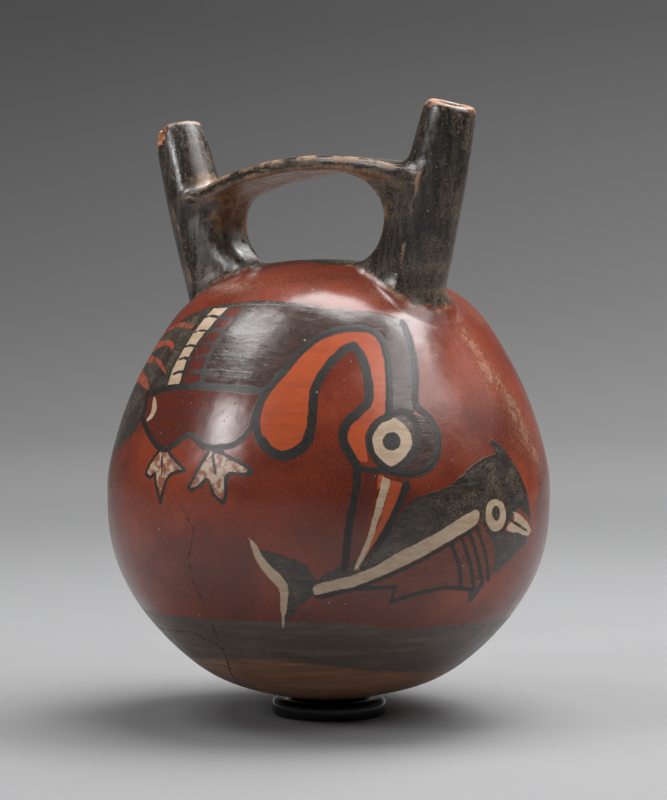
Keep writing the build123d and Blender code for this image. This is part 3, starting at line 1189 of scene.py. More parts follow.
        (-7, 85.9), (-5.4, 85.4), (-3.9, 83.7), (-0.6, 81.5), (2, 79.5), (-2.1, 78.6), (-3.6, 77),
        (-4.7, 73.5), (-5.7, 69.6), (-8.1, 76.2), (-8.6, 78.1), (-10.2, 76.9), (-12.5, 77.7),
        (-11.6, 80.4), (-9.2, 84), (-7, 85.9),
    ]),
    ("foot left mid", "line", 0.75, (), [
        (-7.8, 85.2), (-6.6, 81.5), (-5.9, 77.8),
    ]),
    ("foot right", "flesh", 0, (6, 8, 11, 14, 18), [
        (8.4, 85.1), (9.9, 85.1), (12.6, 84.8), (14.7, 83.6), (17, 82.8), (19.8, 80.9), (20.9, 79.6),
        (18.8, 79.4), (15, 79.5), (13.9, 77.8), (14.2, 74), (13.9, 71.1), (12.8, 71.8), (11.1, 73.8),
        (9.7, 77.1), (8.5, 77.6), (6.7, 75.6), (4.4, 74.3), (3.8, 74.9), (5.1, 76.9), (6.3, 79.8),
        (7.8, 83.1),
    ]),
    ("foot right edge", "line", 1.12, (5, 7, 10, 13, 17), [
        (9.9, 85.3), (12.5, 84.9), (14.7, 83.7), (16.9, 82.9), (19.9, 81), (21.2, 79.5), (18.9, 79.1),
        (15.1, 79.2), (14.2, 77.7), (14.5, 74), (14, 70.7), (12.7, 71.5), (10.8, 73.7), (9.6, 76.8),
        (8.6, 77.2), (6.9, 75.3), (4.5, 74), (3.5, 74.8), (4.8, 77), (6, 79.9), (7.5, 83.2),
        (8.4, 85.2),
    ]),
    ("foot right mid", "line", 0.75, (), [
        (9.7, 84.3), (10.6, 81.4), (11.3, 78.9),
    ]),
    ("slit1", "red", 1.43, (), [
        (-44, 117.4), (-35.1, 120), (-26.5, 121.5), (-15.4, 121.1),
    ]),
    ("slit2", "red", 0, (0, 4, 5), [
        (-46, 113.6), (-42.5, 115.5), (-36.6, 116.5), (-25, 116.8), (-20, 115.5), (-19.9, 113.7),
        (-25, 115.1), (-33.7, 114.5), (-41, 113),
    ]),
    ("slit3", "red", 0, (0, 4), [
        (-46, 110.4), (-40, 111.9), (-33.3, 111.7), (-24, 110.5), (-14.3, 106.1), (-27.1, 110),
        (-34.4, 109.9), (-40, 109.6),
    ]),
    ("slit4", "red", 0, (0, 4), [
        (-53, 104.8), (-46, 107.2), (-36.4, 106.9), (-27.2, 104.6), (-22.6, 101.7), (-27.8, 102.4),
        (-36, 103.7), (-46, 103.2),
    ]),
    ("tooth0", "line", 1.06, (), [
        (-2.9, 123.5), (-0.2, 123.8), (2.6, 123.2),
    ]),
    ("tooth1", "line", 1.12, (), [
        (-4, 119.7), (-0.6, 120.1), (2.7, 119.9),
    ]),
    ("tooth2", "line", 1.18, (), [
        (-4.8, 115.5), (-2, 116.2), (1.2, 115.9),
    ]),
    ("tooth3", "line", 1.24, (), [
        (-5.4, 111.7), (-2.4, 112.5), (0.8, 112.1),
    ]),
    ("tooth4", "line", 1.37, (), [
        (-5, 107.3), (-2, 108), (0.9, 107.7),
    ]),
]


def brushed(points, corners, closed):
    """A smooth outline through the points, sharp at its corners."""
    points = np.array(points, float)
    count = len(points)
    bends = []
    for i in range(count if closed else count - 1):
        here, there = points[i], points[(i + 1) % count]
        straight = there - here
        leave, arrive = straight, straight
        if i not in corners and (closed or i > 0):
            leave = (there - points[i - 1]) / 2
        if (i + 1) % count not in corners and (closed or i + 2 < count):
            arrive = (points[(i + 2) % count] - here) / 2
        t = np.linspace(0, 1, 7)[:-1, None]
        bends.append(bend(t, 1.0, here, leave, there, arrive))
    if not closed:
        bends.append(points[-1:])
    return np.vstack(bends)


def on_wall(path):
    """(azimuth, height) to points on the wall."""
    radius = np.interp(path[:, 1], outer_outline[:, 1], outer_outline[:, 0])
    turn = np.radians(path[:, 0])
    return np.stack([radius * np.sin(turn), -radius * np.cos(turn), path[:, 1]], 1)


def paint_distances(azimuth, height, shapes):
    """For each slip, how far inside its nearest shape each place on the wall is, in millimetres."""
    places = on_wall(np.stack([azimuth, height], 1))
    flat = np.stack([azimuth, height], 1)
    painted = {slip: np.full(len(azimuth), -paint_limit) for slip in paint_order}
    for _, slip, width, corners, points in shapes:
        path = brushed(points, corners, closed=width == 0)
        low, high = path.min(0), path.max(0)
        reach = paint_limit + width
        level = np.clip((low[1] + high[1]) / 2, 5, 130)
        radius = np.interp(level, outer_outline[:, 1], outer_outline[:, 0])
        turn = math.degrees(reach / (0.6 * radius))
        near = (azimuth > low[0] - turn) & (azimuth < high[0] + turn)
        near &= (height > low[1] - reach) & (height < high[1] + reach)
        if not near.any():
            continue
        line = path if width else np.vstack([path, path[:1]])
        depth = path_distance(places[near], on_wall(line))
        if width:
            depth = width / 2 - depth
        else:
            depth = np.where(within(flat[near], path), depth, -depth)
        layer = painted[slip]
        layer[near] = np.maximum(layer[near], np.clip(depth, -paint_limit, paint_limit))
    return painted


def azimuth_of(points):
    return np.degrees(np.arctan2(points[:, 0], -points[:, 1]))


def turned_from(azimuth, middle):
    """How far round an azimuth is from a middle one, the short way."""
    return (azimuth - middle + 180) % 360 - 180


# Cracks in the fired wall, as (azimuth, height)
cracks = [
    [
        (-39.8, 29.2), (-30.6, 28.7), (-22.3, 29.1), (-10.9, 30), (-6.1, 30.8), (-3.3, 28.5),
        (1.1, 27.3), (2.8, 26.1), (1.9, 23.7), (0.7, 21.2), (-3.7, 17.1), (-7.6, 13.5),
        (-19.1, 9.3),
    ],
    [
        (1.6, 68.9), (3.7, 65.3), (5.5, 62.5), (4.3, 58), (3.3, 55), (2.7, 48.4), (3.6, 44.5),
        (4.4, 41.8), (4.1, 37.8), (4, 32.4), (3.9, 28.5),
    ],
]

# Pale places where the slip is scuffed, and painted sheen where the lamps' glare falls, over the top, down
# the right side and on the left of the dark band: azimuth, height, half width in degrees, half height,
# strength
scuffs_and_sheen = [
    (96, 108, 8, 9, 0.7),
    (103, 92, 8, 13, 0.8),
    (88, 131, 12, 3.5, 0.8),
    (112, 124, 8, 4, 0.6),
    (-16, 133, 22, 3, 0.6),
    (92, 119, 8, 6, 0.6),
    (110, 78, 5, 10, 0.6),
    (69, 130, 12, 4, 0.5),
    (100, 134, 9, 4, 0.7),
    (150, 100, 9, 16, 0.5),
    (-120, 88, 8, 14, 0.6),
    (-160, 52, 12, 9, 0.5),
    (14, 25, 9, 5, 0.5),
    (62, 66, 5, 5, 0.35),
    (84, 67, 7, 5, 0.3),
    (-14, 28, 16, 6, 0.45),
    (74, 98, 16, 20, 0.32),
    (40, 134, 70, 6, 0.35),
    (84, 62, 10, 14, 0.3),
    (20, 60, 14, 10, 0.2),
    # on the necks
    (63, 160, 11, 8, 0.8),
    (58, 149, 9, 5, 0.5),
    (-66, 150, 14, 9, 0.35),
    (80, 139, 16, 3.2, 0.9),
    (-76, 136, 20, 4, 0.9),
]

# Places that the fire left brighter, or darker where the strength is below zero:
# azimuth, height, half width in degrees, half height, strength
fire_marks = [
    (-12, 80, 16, 9, 0.9),
    (10, 78, 12, 8, 0.7),
    (0, 62, 14, 8, 0.4),
    (40, 84, 9, 9, -0.9),
    (38, 98, 7, 7, 0.5),
    (22, 58, 12, 6, -0.5),
    (78, 104, 9, 12, 0.6),
    (98, 74, 12, 14, 0.8),
    (84, 42, 16, 6, 0.6),
    (38, 38, 14, 5, -0.4),
    (60, 52, 20, 8, -0.3),
    (38, 132, 30, 5, 0.4),
    (160, 84, 26, 16, 0.7),
    (205, 60, 24, 14, -0.7),
    (250, 96, 20, 14, 0.5),
    (290, 70, 18, 18, -0.5),
]


def crack_distance(points):
    nearest = np.full(len(points), far)
    for path in cracks:
        line = on_wall(evenly(np.array(path, float), 1.5))
        low, high = line.min(0) - 4, line.max(0) + 4
        near = ((points > low) & (points < high)).all(1)
        if near.any():
            nearest[near] = np.minimum(nearest[near], path_distance(points[near], line))
    return nearest


def soft_patches(points, patches):
    azimuth, total = azimuth_of(points), np.zeros(len(points))
    for middle, height, turn, rise, strength in patches:
        away = turned_from(azimuth, middle)
        total += strength * np.exp(-((away / turn) ** 2) - ((points[:, 2] - height) / rise) ** 2)
    return np.clip(total, -1.2, 1.2)


def saddle_depth(points):
    """How far inside the dark strip painted along the crown under the bridge, which joins the two webs'
    black over the crown.
    """
    across = 8.0 + 0.9 * np.sin(points[:, 0] / 6.0) - np.abs(points[:, 1] - bridge_y)
    across = np.clip(across, -paint_limit, paint_limit)
    return np.where(points[:, 2] > crown_level - 14, across, -paint_limit)


def paint_wall(mesh):
    """Stores what the slips need to know at each point of a piece of the body."""
    points = points_of(mesh)
    azimuth, height = azimuth_of(points), points[:, 2]
    first = paint_distances(turned_from(azimuth, 40) + 40, height, bird_and_fish)
    # the second figure, on the back, is by the same hand, and isn't quite the same
    second_azimuth = turned_from(azimuth, 220) + 40
    drift = 1.4 * np.sin(np.radians(second_azimuth) * 2.3 + height / 37)
    sag = 0.9 * np.sin(height / 21 + np.radians(second_azimuth) * 1.7)
    second = paint_distances(second_azimuth + drift, height + sag, bird_and_fish)
    first["dark"] = np.maximum(first["dark"], saddle_depth(points))
    for slip in paint_order:
        store(mesh, slip + "_slip", np.maximum(first[slip], second[slip]))
    store(mesh, "crack", crack_distance(points))
    # pale scuffs, and painted sheen over the top, down the right side and on the left of the dark band
    store(mesh, "scuff_and_sheen", soft_patches(points, scuffs_and_sheen))
    store(mesh, "fired", soft_patches(points, fire_marks))
    # what only the necks have
    on_necks = {"above_body": -far, "edge": 0.0, "chip": -far, "up_spout": -out_of_reach, "on_strap": 0.0}
    for name, value in on_necks.items():
        store(mesh, name, np.full(len(points), value))


def paint_neck(mesh):
    """The same for a piece of the spouts and the bridge, which are all black slip but for their feet."""
    points = points_of(mesh)
    for slip in paint_order:
        store(mesh, slip + "_slip", np.full(len(points), -paint_limit))
    store(mesh, "dark_slip", saddle_depth(points))
    store(mesh, "crack", np.full(len(points), far))
    # pale scuffs, and the painted sheen of the scuff table where it reaches the necks
    store(mesh, "scuff_and_sheen", 0.8 * soft_patches(points, scuffs_and_sheen))
    store(mesh, "fired", soft_patches(points, fire_marks))
    store(mesh, "above_body", np.clip(body_field(points), -far, 60))
    reach = 1.3
    steps = [sign * side for side in np.eye(3) for sign in (1, -1)]
    sharp = sum(clay_field(points + reach * step) for step in steps) - 6 * clay_field(points)
    store(mesh, "edge", np.clip(sharp / reach, -1, 2))
    store(mesh, "chip", np.clip(chip_field(points), -far, far))
    tops = [spout.length - spout.reach(points)[0] for spout in (left_spout, right_spout)]
    near_left = np.abs(points[:, 0] - left_spout_x) < np.abs(points[:, 0] - right_spout_x)
    store(mesh, "up_spout", -np.where(near_left, tops[0], tops[1]))
    flatwise = np.clip(1.5 - np.abs(strap.height(points)) / strap_thickness, 0, 1)
    store(mesh, "on_strap", flatwise * np.clip(-outside_spouts(points) / 3, 0, 1))


# === Finishes ===


def effect(name, inputs, outputs):
    """A shader node group with named sockets: its tree, its nodes, its given values and its results."""
    tree = bpy.data.node_groups.new(name, "ShaderNodeTree")
    for label, kind, value in inputs:
        socket = tree.interface.new_socket(label, in_out="INPUT", socket_type="NodeSocket" + kind)
        if value is not None:
            socket.default_value = value
    for label in outputs:
        tree.interface.new_socket(label, in_out="OUTPUT", socket_type="NodeSocketFloat")
    nodes = Nodes(tree)
    return tree, nodes, nodes.add("NodeGroupInput").outputs, nodes.add("NodeGroupOutput").inputs


def brushed_edge_effect():
    """Where a slip lies, from the distance to its painted edge: the brush leaves it uneven."""
    sockets = [("Place", "Vector", None), ("Depth", "Float", 0.0)]
    sockets += [("Raggedness", "Float", 0.5), ("Softness", "Float", 0.16)]
    tree, n, given, result = effect("brushed_edge", sockets, ["Mask"])
    slow = n.minus(n.noise(given["Place"], 2.6, 2.0), 0.5)
    quick = n.minus(n.noise(given["Place"], 0.5, 2.0), 0.5)
    shift = n.times(n.plus(slow, n.times(quick, 0.45)), given["Raggedness"])
    depth = n.plus(given["Depth"], shift)
    n.put(result["Mask"], n.spread(depth, n.times(given["Softness"], -1.0), given["Softness"]))
    return tree


def burnish_effect():
    """The marks of a smoothing stone: level streaks, slow clouds of tone and fine pits."""
    sockets = [("Place", "Vector", None), ("Streak Length", "Float", 14.0), ("Streak Height", "Float", 0.8)]
    tree, n, given, result = effect("burnish", sockets, ["Streaks", "Clouds", "Pits", "Height"])
    squeeze = n.add("ShaderNodeCombineXYZ")
    across, up = (n.maths("DIVIDE", 1.0, given["Streak " + label]) for label in ("Length", "Height"))
    for label, value in (("X", across), ("Y", across), ("Z", up)):
        n.put(squeeze.inputs[label], value)
    streaks = n.noise(n.scaled(given["Place"], squeeze.outputs[0]), 1.0, 2.0, 0.5)
    pits = n.spread(n.noise(given["Place"], 0.9, 2.0, 0.6), 0.66, 0.8)
    fine = n.times(n.noise(given["Place"], 0.35, 2.0), 0.01)
    slow = n.times(n.noise(given["Place"], 10.0, 2.0), 0.22)
    height = n.plus(n.plus(n.times(streaks, 0.002), fine), slow)
    n.put(result["Streaks"], streaks)
    n.put(result["Clouds"], n.noise(given["Place"], 34.0, 3.0, 0.55, 0.4))
    n.put(result["Pits"], pits)
    n.put(result["Height"], n.minus(height, n.times(pits, 0.05)))
    return tree


def grit_effect():
    """Pale grains of temper that show through the slip here and there."""
    sockets = [("Place", "Vector", None), ("Spacing", "Float", 3.4)]
    sockets += [("Size", "Float", 0.16), ("Share", "Float", 0.3)]
    tree, n, given, result = effect("grit", sockets, ["Mask"])
    scale = n.maths("DIVIDE", 1.0, given["Spacing"])
    cells = n.add("ShaderNodeTexVoronoi", {"Vector": given["Place"], "Scale": scale}, feature="F1")
    away = n.times(cells.outputs["Distance"], given["Spacing"])
    chance = n.add("ShaderNodeSeparateColor", {0: cells.outputs["Color"]}).outputs
    own_size = n.times(given["Size"], n.plus(chance[1], 0.4))
    near = n.spread(away, own_size, n.times(own_size, 0.55))
    n.put(result["Mask"], n.times(near, n.maths("LESS_THAN", chance[0], given["Share"])))
    return tree


def rubbing_effect():
    """Where the slip is rubbed through: along edges, in scratchy patches, in speckles and as fine dust. The
    scratchy patches also carry painted sheen, where the scuff input holds it.
    """
    sockets = [("Place", "Vector", None), ("Edge", "Float", 0.0)]
    sockets += [("Scuff", "Float", 0.0), ("Amount", "Float", 0.5)]
    masks = ["Edge Mask", "Scuff And Sheen Mask", "Speckle Mask", "Dust Mask"]
    tree, n, given, result = effect("rubbing", sockets, masks)
    place, amount = given["Place"], given["Amount"]
    rough = n.noise(place, 1.5, 4.0, 0.65)
    edge = n.plus(given["Edge"], n.times(n.minus(rough, 0.5), 1.1))
    n.put(result["Edge Mask"], n.spread(n.times(edge, amount), 0.16, 0.34))
    scratch = n.noise(n.scaled(place, (1.0, 1.0, 0.35)), 0.8, 4.0, 0.7)
    blotch = n.noise(place, 5.0, 3.0, 0.6)
    worn = n.times(n.plus(scratch, n.times(blotch, 0.6)), given["Scuff"])
    n.put(result["Scuff And Sheen Mask"], n.spread(worn, 0.48, 0.95))
    n.put(result["Dust Mask"], n.spread(n.noise(place, 0.42, 3.0, 0.7), 0.44, 0.72))
    speckle = n.noise(place, 0.75, 3.0, 0.6)
    high = n.minus(0.72, n.times(n.times(n.noise(place, 8.0, 2.0), amount), 0.34))
    n.put(result["Speckle Mask"], n.spread(speckle, high, n.plus(high, 0.06)))
    return tree


brushed_edge, burnish = brushed_edge_effect(), burnish_effect()
grit, rubbing = grit_effect(), rubbing_effect()

# How each painted slip looks: its colour, the colour that it wanders to, and its roughness
slips = {
    "wash": (thin_black_slip, srgb(40, 35, 32), 0.21),
    "dark": (black_slip, srgb(58, 52, 47), 0.25),
    "maroon": (maroon_slip, deep_red_slip, 0.23),
    "red": (bright_red_slip, red_slip, 0.38),
    "orange": (orange_slip, srgb(170, 74, 40), 0.3),
    "ochre": (ochre_slip, deep_red_slip, 0.38),
    "cream": (cream_slip, srgb(184, 156, 126), 0.4),
    "flesh": (cream_slip, srgb(150, 84, 62), 0.34),
    "line": (line_black, soot_colour, 0.4),
}


def start_material(name):
    material = bpy.data.materials.new(name)
    material.use_nodes = True
    material.node_tree.nodes.clear()
    return material, Nodes(material.node_tree)


def fired_ground(n, place, clouds):
    """The red slip of the body, brighter and darker where the fire left it so, and its roughness."""
    colour = n.mix(n.spread(clouds, 0.35, 0.62), red_slip, deep_red_slip)
    shifted = n.vector("ADD", place, (40.0, 11.0, 7.0))
    fired = n.plus(n.stored("fired"), n.spread(n.noise(shifted, 24.0, 3.0, 0.6), 0.35, 0.65, -0.4, 0.4))
    colour = n.mix(n.spread(fired, 0.0, 1.2, 0.0, 0.85), colour, bright_red_slip)
    colour = n.mix(n.spread(fired, 0.0, -1.2, 0.0, 0.85), colour, dark_red_slip)
    roughness = n.spread(n.noise(place, 5.0, 4.0, 0.65), 0.3, 0.7, 0.19, 0.26)
    mottled = n.spread(n.noise(place, 2.2, 5.0, 0.7), 0.42, 0.62, 0.0, 0.18)
    return n.mix(mottled, colour, dark_red_slip), roughness


def bottom_band(n, place, marks, colour, roughness):
    """The dark band round the bottom, and the thin brown wash under it."""
    clouds, streaks = marks["Clouds"], marks["Streaks"]
    band = n.group(brushed_edge, Place=place, Depth=n.stored("band"), Raggedness=1.5, Softness=0.35)["Mask"]
    low = n.stored("under_band")
    under = n.group(brushed_edge, Place=place, Depth=low, Raggedness=1.8, Softness=0.5)["Mask"]
    wash = n.mix(n.spread(streaks, 0.35, 0.66), brown_wash, dark_brown_wash)
    wash = n.mix(n.spread(clouds, 0.45, 0.68, 0.0, 0.7), wash, rusty_wash)
    colour = n.mix(under, colour, wash)
    colour = n.mix(n.times(band, n.spread(streaks, 0.2, 0.42, 0.72, 0.97)), colour, band_slip)
    level = n.scaled(place, (0.07, 0.07, 1.0))
    dry_brush = n.spread(n.noise(level, 1.6, 6.0, 0.75, 0.2), 0.46, 0.7, 0.0, 0.6)
    colour = n.mix(n.times(dry_brush, band), colour, dry_band)
    return colour, n.plus(roughness, n.times(n.most(band, under), 0.1))


def painted_figures(n, place, colour, roughness):
    """The figures' slips, one over the other: colour, roughness and how high they stand."""
    # brush strokes show in the thin slips, and the feet's pale slip has worn in blots
    strokes = n.noise(n.scaled(place, (0.45, 0.45, 1.5)), 2.6, 4.0, 0.68, 0.6)
    blots = n.noise(place, 2.4, 3.0, 0.6, 0.5)
    relief = 0.0
    for slip in paint_order:
        slip_colour, other_colour, gloss = slips[slip]
        brushy = slip in ("wash", "dark")
        depth, ragged = n.stored(slip + "_slip"), 0.9 if brushy else 0.75
        mask = n.group(brushed_edge, Place=place, Depth=depth, Raggedness=ragged)["Mask"]
        own = n.mix(n.spread(blots if slip == "flesh" else strokes, 0.42, 0.6), slip_colour, other_colour)
        cover = n.times(mask, n.spread(strokes, 0.3, 0.62, 1.0, 0.8)) if slip == "wash" else mask
        colour = n.mix(cover, colour, own)
        relief = n.plus(relief, n.times(mask, 0.01))
        if brushy:
            gloss = n.spread(strokes, 0.36, 0.64, gloss - 0.06, gloss + 0.1)
            relief = n.plus(relief, n.times(mask, n.times(strokes, 0.06)))
        roughness = n.between(mask, roughness, gloss)
    return colour, roughness, relief


def neck_slip(n, place, colour, roughness):
    """The black slip of the spouts and the bridge, which stops just above the body, and where it lies."""
    wander = n.times(n.minus(n.noise(place, 5.0, 3.0), 0.5), 2.6)
    above = n.plus(n.stored("above_body"), wander)
    black = n.spread(above, 1.5, 2.1)
    foot_line = n.times(n.spread(above, 0.7, 1.5), n.spread(above, 2.6, 1.8))
    # the smoothing stone ran lengthwise: up the spouts, and along the strap
    on_strap = n.stored("on_strap")
    up = n.noise(n.scaled(place, (1.0, 1.0, 0.16)), 2.4, 3.0, 0.6, 0.3)
    along = n.noise(n.scaled(place, (0.12, 0.9, 0.9)), 1.7, 3.0, 0.6, 0.3)
    strips = n.between(on_strap, up, along)
    neck = n.mix(n.spread(strips, 0.42, 0.7), neck_black, neck_thin_black)
    fine_up = n.noise(n.scaled(place, (1.0, 1.0, 0.13)), 0.8, 2.0, 0.6, 0.6)
    fine_along = n.noise(n.scaled(place, (0.1, 1.0, 1.0)), 0.9, 2.0, 0.6, 0.6)
    often = n.spread(n.noise(place, 6.0, 2.0), 0.42, 0.64, 0.0, 0.5)
    scratches = n.times(n.spread(n.between(on_strap, fine_up, fine_along), 0.56, 0.7), often)
    neck = n.mix(scratches, neck, scratch_grey)
    dusted = n.times(n.spread(along, 0.5, 0.62), n.times(on_strap, 0.38))
    neck = n.mix(dusted, neck, strap_dust)
    colour = n.mix(black, colour, neck)
    broken = n.spread(n.noise(place, 2.2, 4.0, 0.65), 0.45, 0.62, 0.0, 0.75)
    colour = n.mix(n.times(foot_line, broken), colour, foot_dust)
    return colour, n.plus(roughness, n.times(black, n.spread(strips, 0.36, 0.62, -0.02, 0.12))), black


def wear(n, place, colour, black):
    """The colour once it is rubbed, tanned, speckled, scuffed, dusted and cracked, with painted sheen among
    the scuffs and the dust, and where that is.
    """
    worn = n.group(rubbing, Place=place, Edge=n.stored("edge"), Scuff=n.stored("scuff_and_sheen"), Amount=0.55)
    here_and_there = n.spread(n.noise(place, 7.0, 3.0, 0.6), 0.44, 0.6)
    rubbed = n.times(n.times(worn["Edge Mask"], here_and_there), black)
    facing = n.plus(n.stored("facing_down"), n.times(n.noise(place, 3.6, 4.0, 0.7), 1.5))
    tanned = n.times(n.spread(facing, 0.95, 1.5), black)
    rim_break = n.times(n.minus(n.noise(place, 1.8, 4.0, 0.65), 0.5), 4.0)
    rim = n.spread(n.plus(n.stored("up_spout"), rim_break), -1.1, 0.0)
    brown = n.mix(n.spread(n.noise(place, 2.0, 4.0, 0.65), 0.4, 0.62), worn_dark_brown, worn_brown)
    colour = n.mix(n.times(tanned, 0.85), colour, brown)
    colour = n.mix(n.times(rubbed, 0.75), colour, dusty_tan)
    rim_clay = n.mix(n.spread(n.noise(place, 1.1, 3.0), 0.4, 0.6), bare_clay, dusty_tan)
    colour = n.mix(n.times(rim, 0.8), colour, rim_clay)
    on_dark = n.most(black, n.spread(n.stored("dark_slip"), -0.5, 1.5, 0.0, 0.7))
    speckle = n.times(worn["Speckle Mask"], on_dark)
    colour = n.mix(n.times(speckle, 0.7), colour, speckle_tan)
    # pale scuffs, and painted sheen where the scuff table lays it
    colour = n.mix(n.times(worn["Scuff And Sheen Mask"], 0.6), colour, pale_scuff_and_sheen)
    # fine pale dust: a little everywhere, more in patches on the dark slips, and more where the scuff table
    # lays scuffs and painted sheen
    patchy = n.spread(n.noise(place, 7.0, 3.0), 0.46, 0.62, 0.0, 0.2)
    dusty = n.most(n.times(n.stored("dark_slip"), patchy, clamp=True), 0.1)
    dusty = n.least(n.most(n.times(n.stored("scuff_and_sheen"), 0.75), dusty), 0.5)
    colour = n.mix(n.times(worn["Dust Mask"], dusty), colour, pale_scuff_and_sheen)
    chipped = n.spread(n.stored("chip"), -0.35, 0.15)
    colour = n.mix(chipped, colour, fresh_clay)
    grains = n.group(grit, Place=place, Spacing=4.0, Size=0.24, Share=0.3)["Mask"]
    colour = n.mix(n.times(grains, 0.75), colour, grit_colour)
    wobble = n.times(n.minus(n.noise(place, 1.8, 4.0, 0.6), 0.5), 1.6)
    crack = n.spread(n.maths("ABSOLUTE", n.plus(n.stored("crack"), wobble)), 0.38, 0.1)
    colour = n.mix(n.times(crack, 0.85), colour, soot_colour)
    return colour, rubbed, tanned, rim, speckle, worn["Scuff And Sheen Mask"], chipped, grains, crack


def clay_finish(name):
    """Slipped, painted and burnished clay. Every piece of the bottle reads the same stored numbers."""
    material, n = start_material(name)
    place = n.place()
    marks = n.group(burnish, Place=place, Streak_Length=15.0, Streak_Height=0.75)
    colour, roughness = fired_ground(n, place, marks["Clouds"])
    colour, roughness = bottom_band(n, place, marks, colour, roughness)
    colour, roughness, relief = painted_figures(n, place, colour, roughness)
    colour, roughness, black = neck_slip(n, place, colour, roughness)
    colour, rubbed, tanned, rim, speckle, scuffed_and_sheen, chipped, grains, crack = wear(n, place, colour, black)

    rougher = ((rubbed, 0.2), (tanned, 0.12), (rim, 0.22), (scuffed_and_sheen, 0.2), (chipped, 0.3), (crack, 0.3))
    for mask, amount in rougher:
        roughness = n.plus(roughness, n.times(mask, amount))
    roughness = n.least(roughness, 0.85)

    height = n.plus(marks["Height"], relief)
    for mask, depth in ((crack, 0.25), (rubbed, 0.03), (speckle, 0.03), (scuffed_and_sheen, 0.03), (grains, -0.05)):
        height = n.minus(height, n.times(mask, depth))
    rough_break = n.times(n.noise(place, 0.8, 4.0, 0.7), n.times(chipped, 0.5))
    height = n.plus(height, rough_break)
    bump = n.add("ShaderNodeBump", {"Height": height, "Strength": 1.0, "Distance": 0.001})
    surface = n.surface(Base_Color=colour, Roughness=roughness, Normal=bump.outputs[0])
    surface.inputs["IOR"].default_value = 1.64
    n.finish(surface.outputs[0])
    return material


def ring_finish():
    """Glossy black, with faint scratches and dust where it meets the table."""
    material, n = start_material("ring_black")
    place = n.place()
    scratch = n.noise(n.scaled(place, (0.35, 0.35, 3.0)), 0.6, 4.0, 0.7)
    height = n.add("ShaderNodeSeparateXYZ", {0: place}).outputs["Z"]
    dust = n.times(n.spread(height, 1.4, 0.2), n.spread(n.noise(place, 1.4, 3.0), 0.45, 0.7))
    grains = n.group(grit, Place=place, Spacing=2.6, Size=0.09, Share=0.3)["Mask"]
    colour = n.mix(n.times(n.most(dust, grains), 0.35), ring_black, ring_dust)
    roughness = n.plus(n.spread(scratch, 0.45, 0.75, 0.1, 0.28), n.times(dust, 0.3))
    relief = n.times(scratch, 0.012)
    bump = n.add("ShaderNodeBump", {"Height": relief, "Strength": 1.0, "Distance": 0.001})
    n.finish(n.surface(Base_Color=colour, Roughness=roughness, Normal=bump.outputs[0]).outputs[0])
    return material


# the same look for all the clay, under the name of each slot
clay_finishes = {slot: clay_finish(slot) for slot in ("painted_slip", "black_slip", "bare_clay")}
ring_gloss = ring_finish()


# === The pieces, each in place of its CAD node ===

# The dark band's edges all the way round, as (azimuth, height)
band_top = [(-70, 34.6), (-16, 35.1), (20, 35.9), (43, 36.0), (60, 33.6), (109, 32.3)]
band_top += [(160, 33.8), (215, 35.4), (255, 33.2), (290, 34.6)]
band_low = [(-70, 19.4), (-26, 20.2), (1, 22.4), (20, 23.3), (44, 21.2), (56, 19.3), (97, 16.6)]
band_low += [(150, 18.4), (205, 20.6), (250, 17.8), (290, 19.4)]


def around(edge, azimuth):
    return np.interp((azimuth + 70) % 360 - 70, *np.array(edge, float).T)


def store_band(mesh):
    points = points_of(mesh)
    azimuth, height = azimuth_of(points), points[:, 2]
    top, low = around(band_top, azimuth), around(band_low, azimuth)
    store(mesh, "band", np.clip(np.minimum(height - low, top - height), -far, far))
    store(mesh, "under_band", np.clip(low + 1.5 - height, -far, far))


def store_facing(mesh):
    """How far each point faces down, or into the opening under the bridge, where the slip is brown."""
    normals = np.empty(len(mesh.vertices) * 3, np.float32)
    mesh.vertex_normals.foreach_get("vector", normals)
    normals, points = normals.reshape(-1, 3), points_of(mesh)
    middle = np.array([(opening_left_x + opening_right_x) / 2, 0, crown_level + 15])
    inward = middle - points * (1, 0, 1)
    inward /= np.linalg.norm(inward, axis=1)[:, None]
    rise = points[:, 2] - crown_level
    level = np.clip((rise - 3) / 10, 0, 1) * np.clip((30 - rise) / 6, 0, 1)
    store(mesh, "facing_down", np.maximum(-normals[:, 2], (normals * inward).sum(1) * level))


def dress(name, mesh, material, body="bottle"):
    """Puts a finished piece in place of the CAD node of the same name."""
    if not mesh.materials:
        mesh.materials.append(material)
    piece = link(name + "_finish", mesh)
    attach(piece, body)
    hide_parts(name)
    return piece


sections = {
    "lower_bowl": (bowl_section(), "bare_clay"),
    "lower_wall_course": (course_section(bowl_joint_level, course_joint_level), "painted_slip"),
    "upper_wall_course": (course_section(course_joint_level, shoulder_joint_level), "painted_slip"),
    "shoulder": (shoulder_section(), "painted_slip"),
    "crown_patch": (patch_section(), "painted_slip"),
}
for name, (section, slot) in sections.items():
    mesh = turn(name, section, wall_steps, clay_finishes[slot])
    press_by_hand(mesh)
    if name == "shoulder":
        for spout in (left_spout, right_spout):
            mesh = cut_spout_hole(mesh, spout)
    shade(mesh)
    paint_wall(mesh)
    store_band(mesh)
    store(mesh, "facing_down", np.full(len(mesh.vertices), -1.0))
    dress(name, mesh, clay_finishes[slot])

for name in blended_pieces:
    mesh = blended_mesh(name)
    shade(mesh)
    paint_neck(mesh)
    store_band(mesh)
    store_facing(mesh)
    dress(name, mesh, clay_finishes["black_slip"])


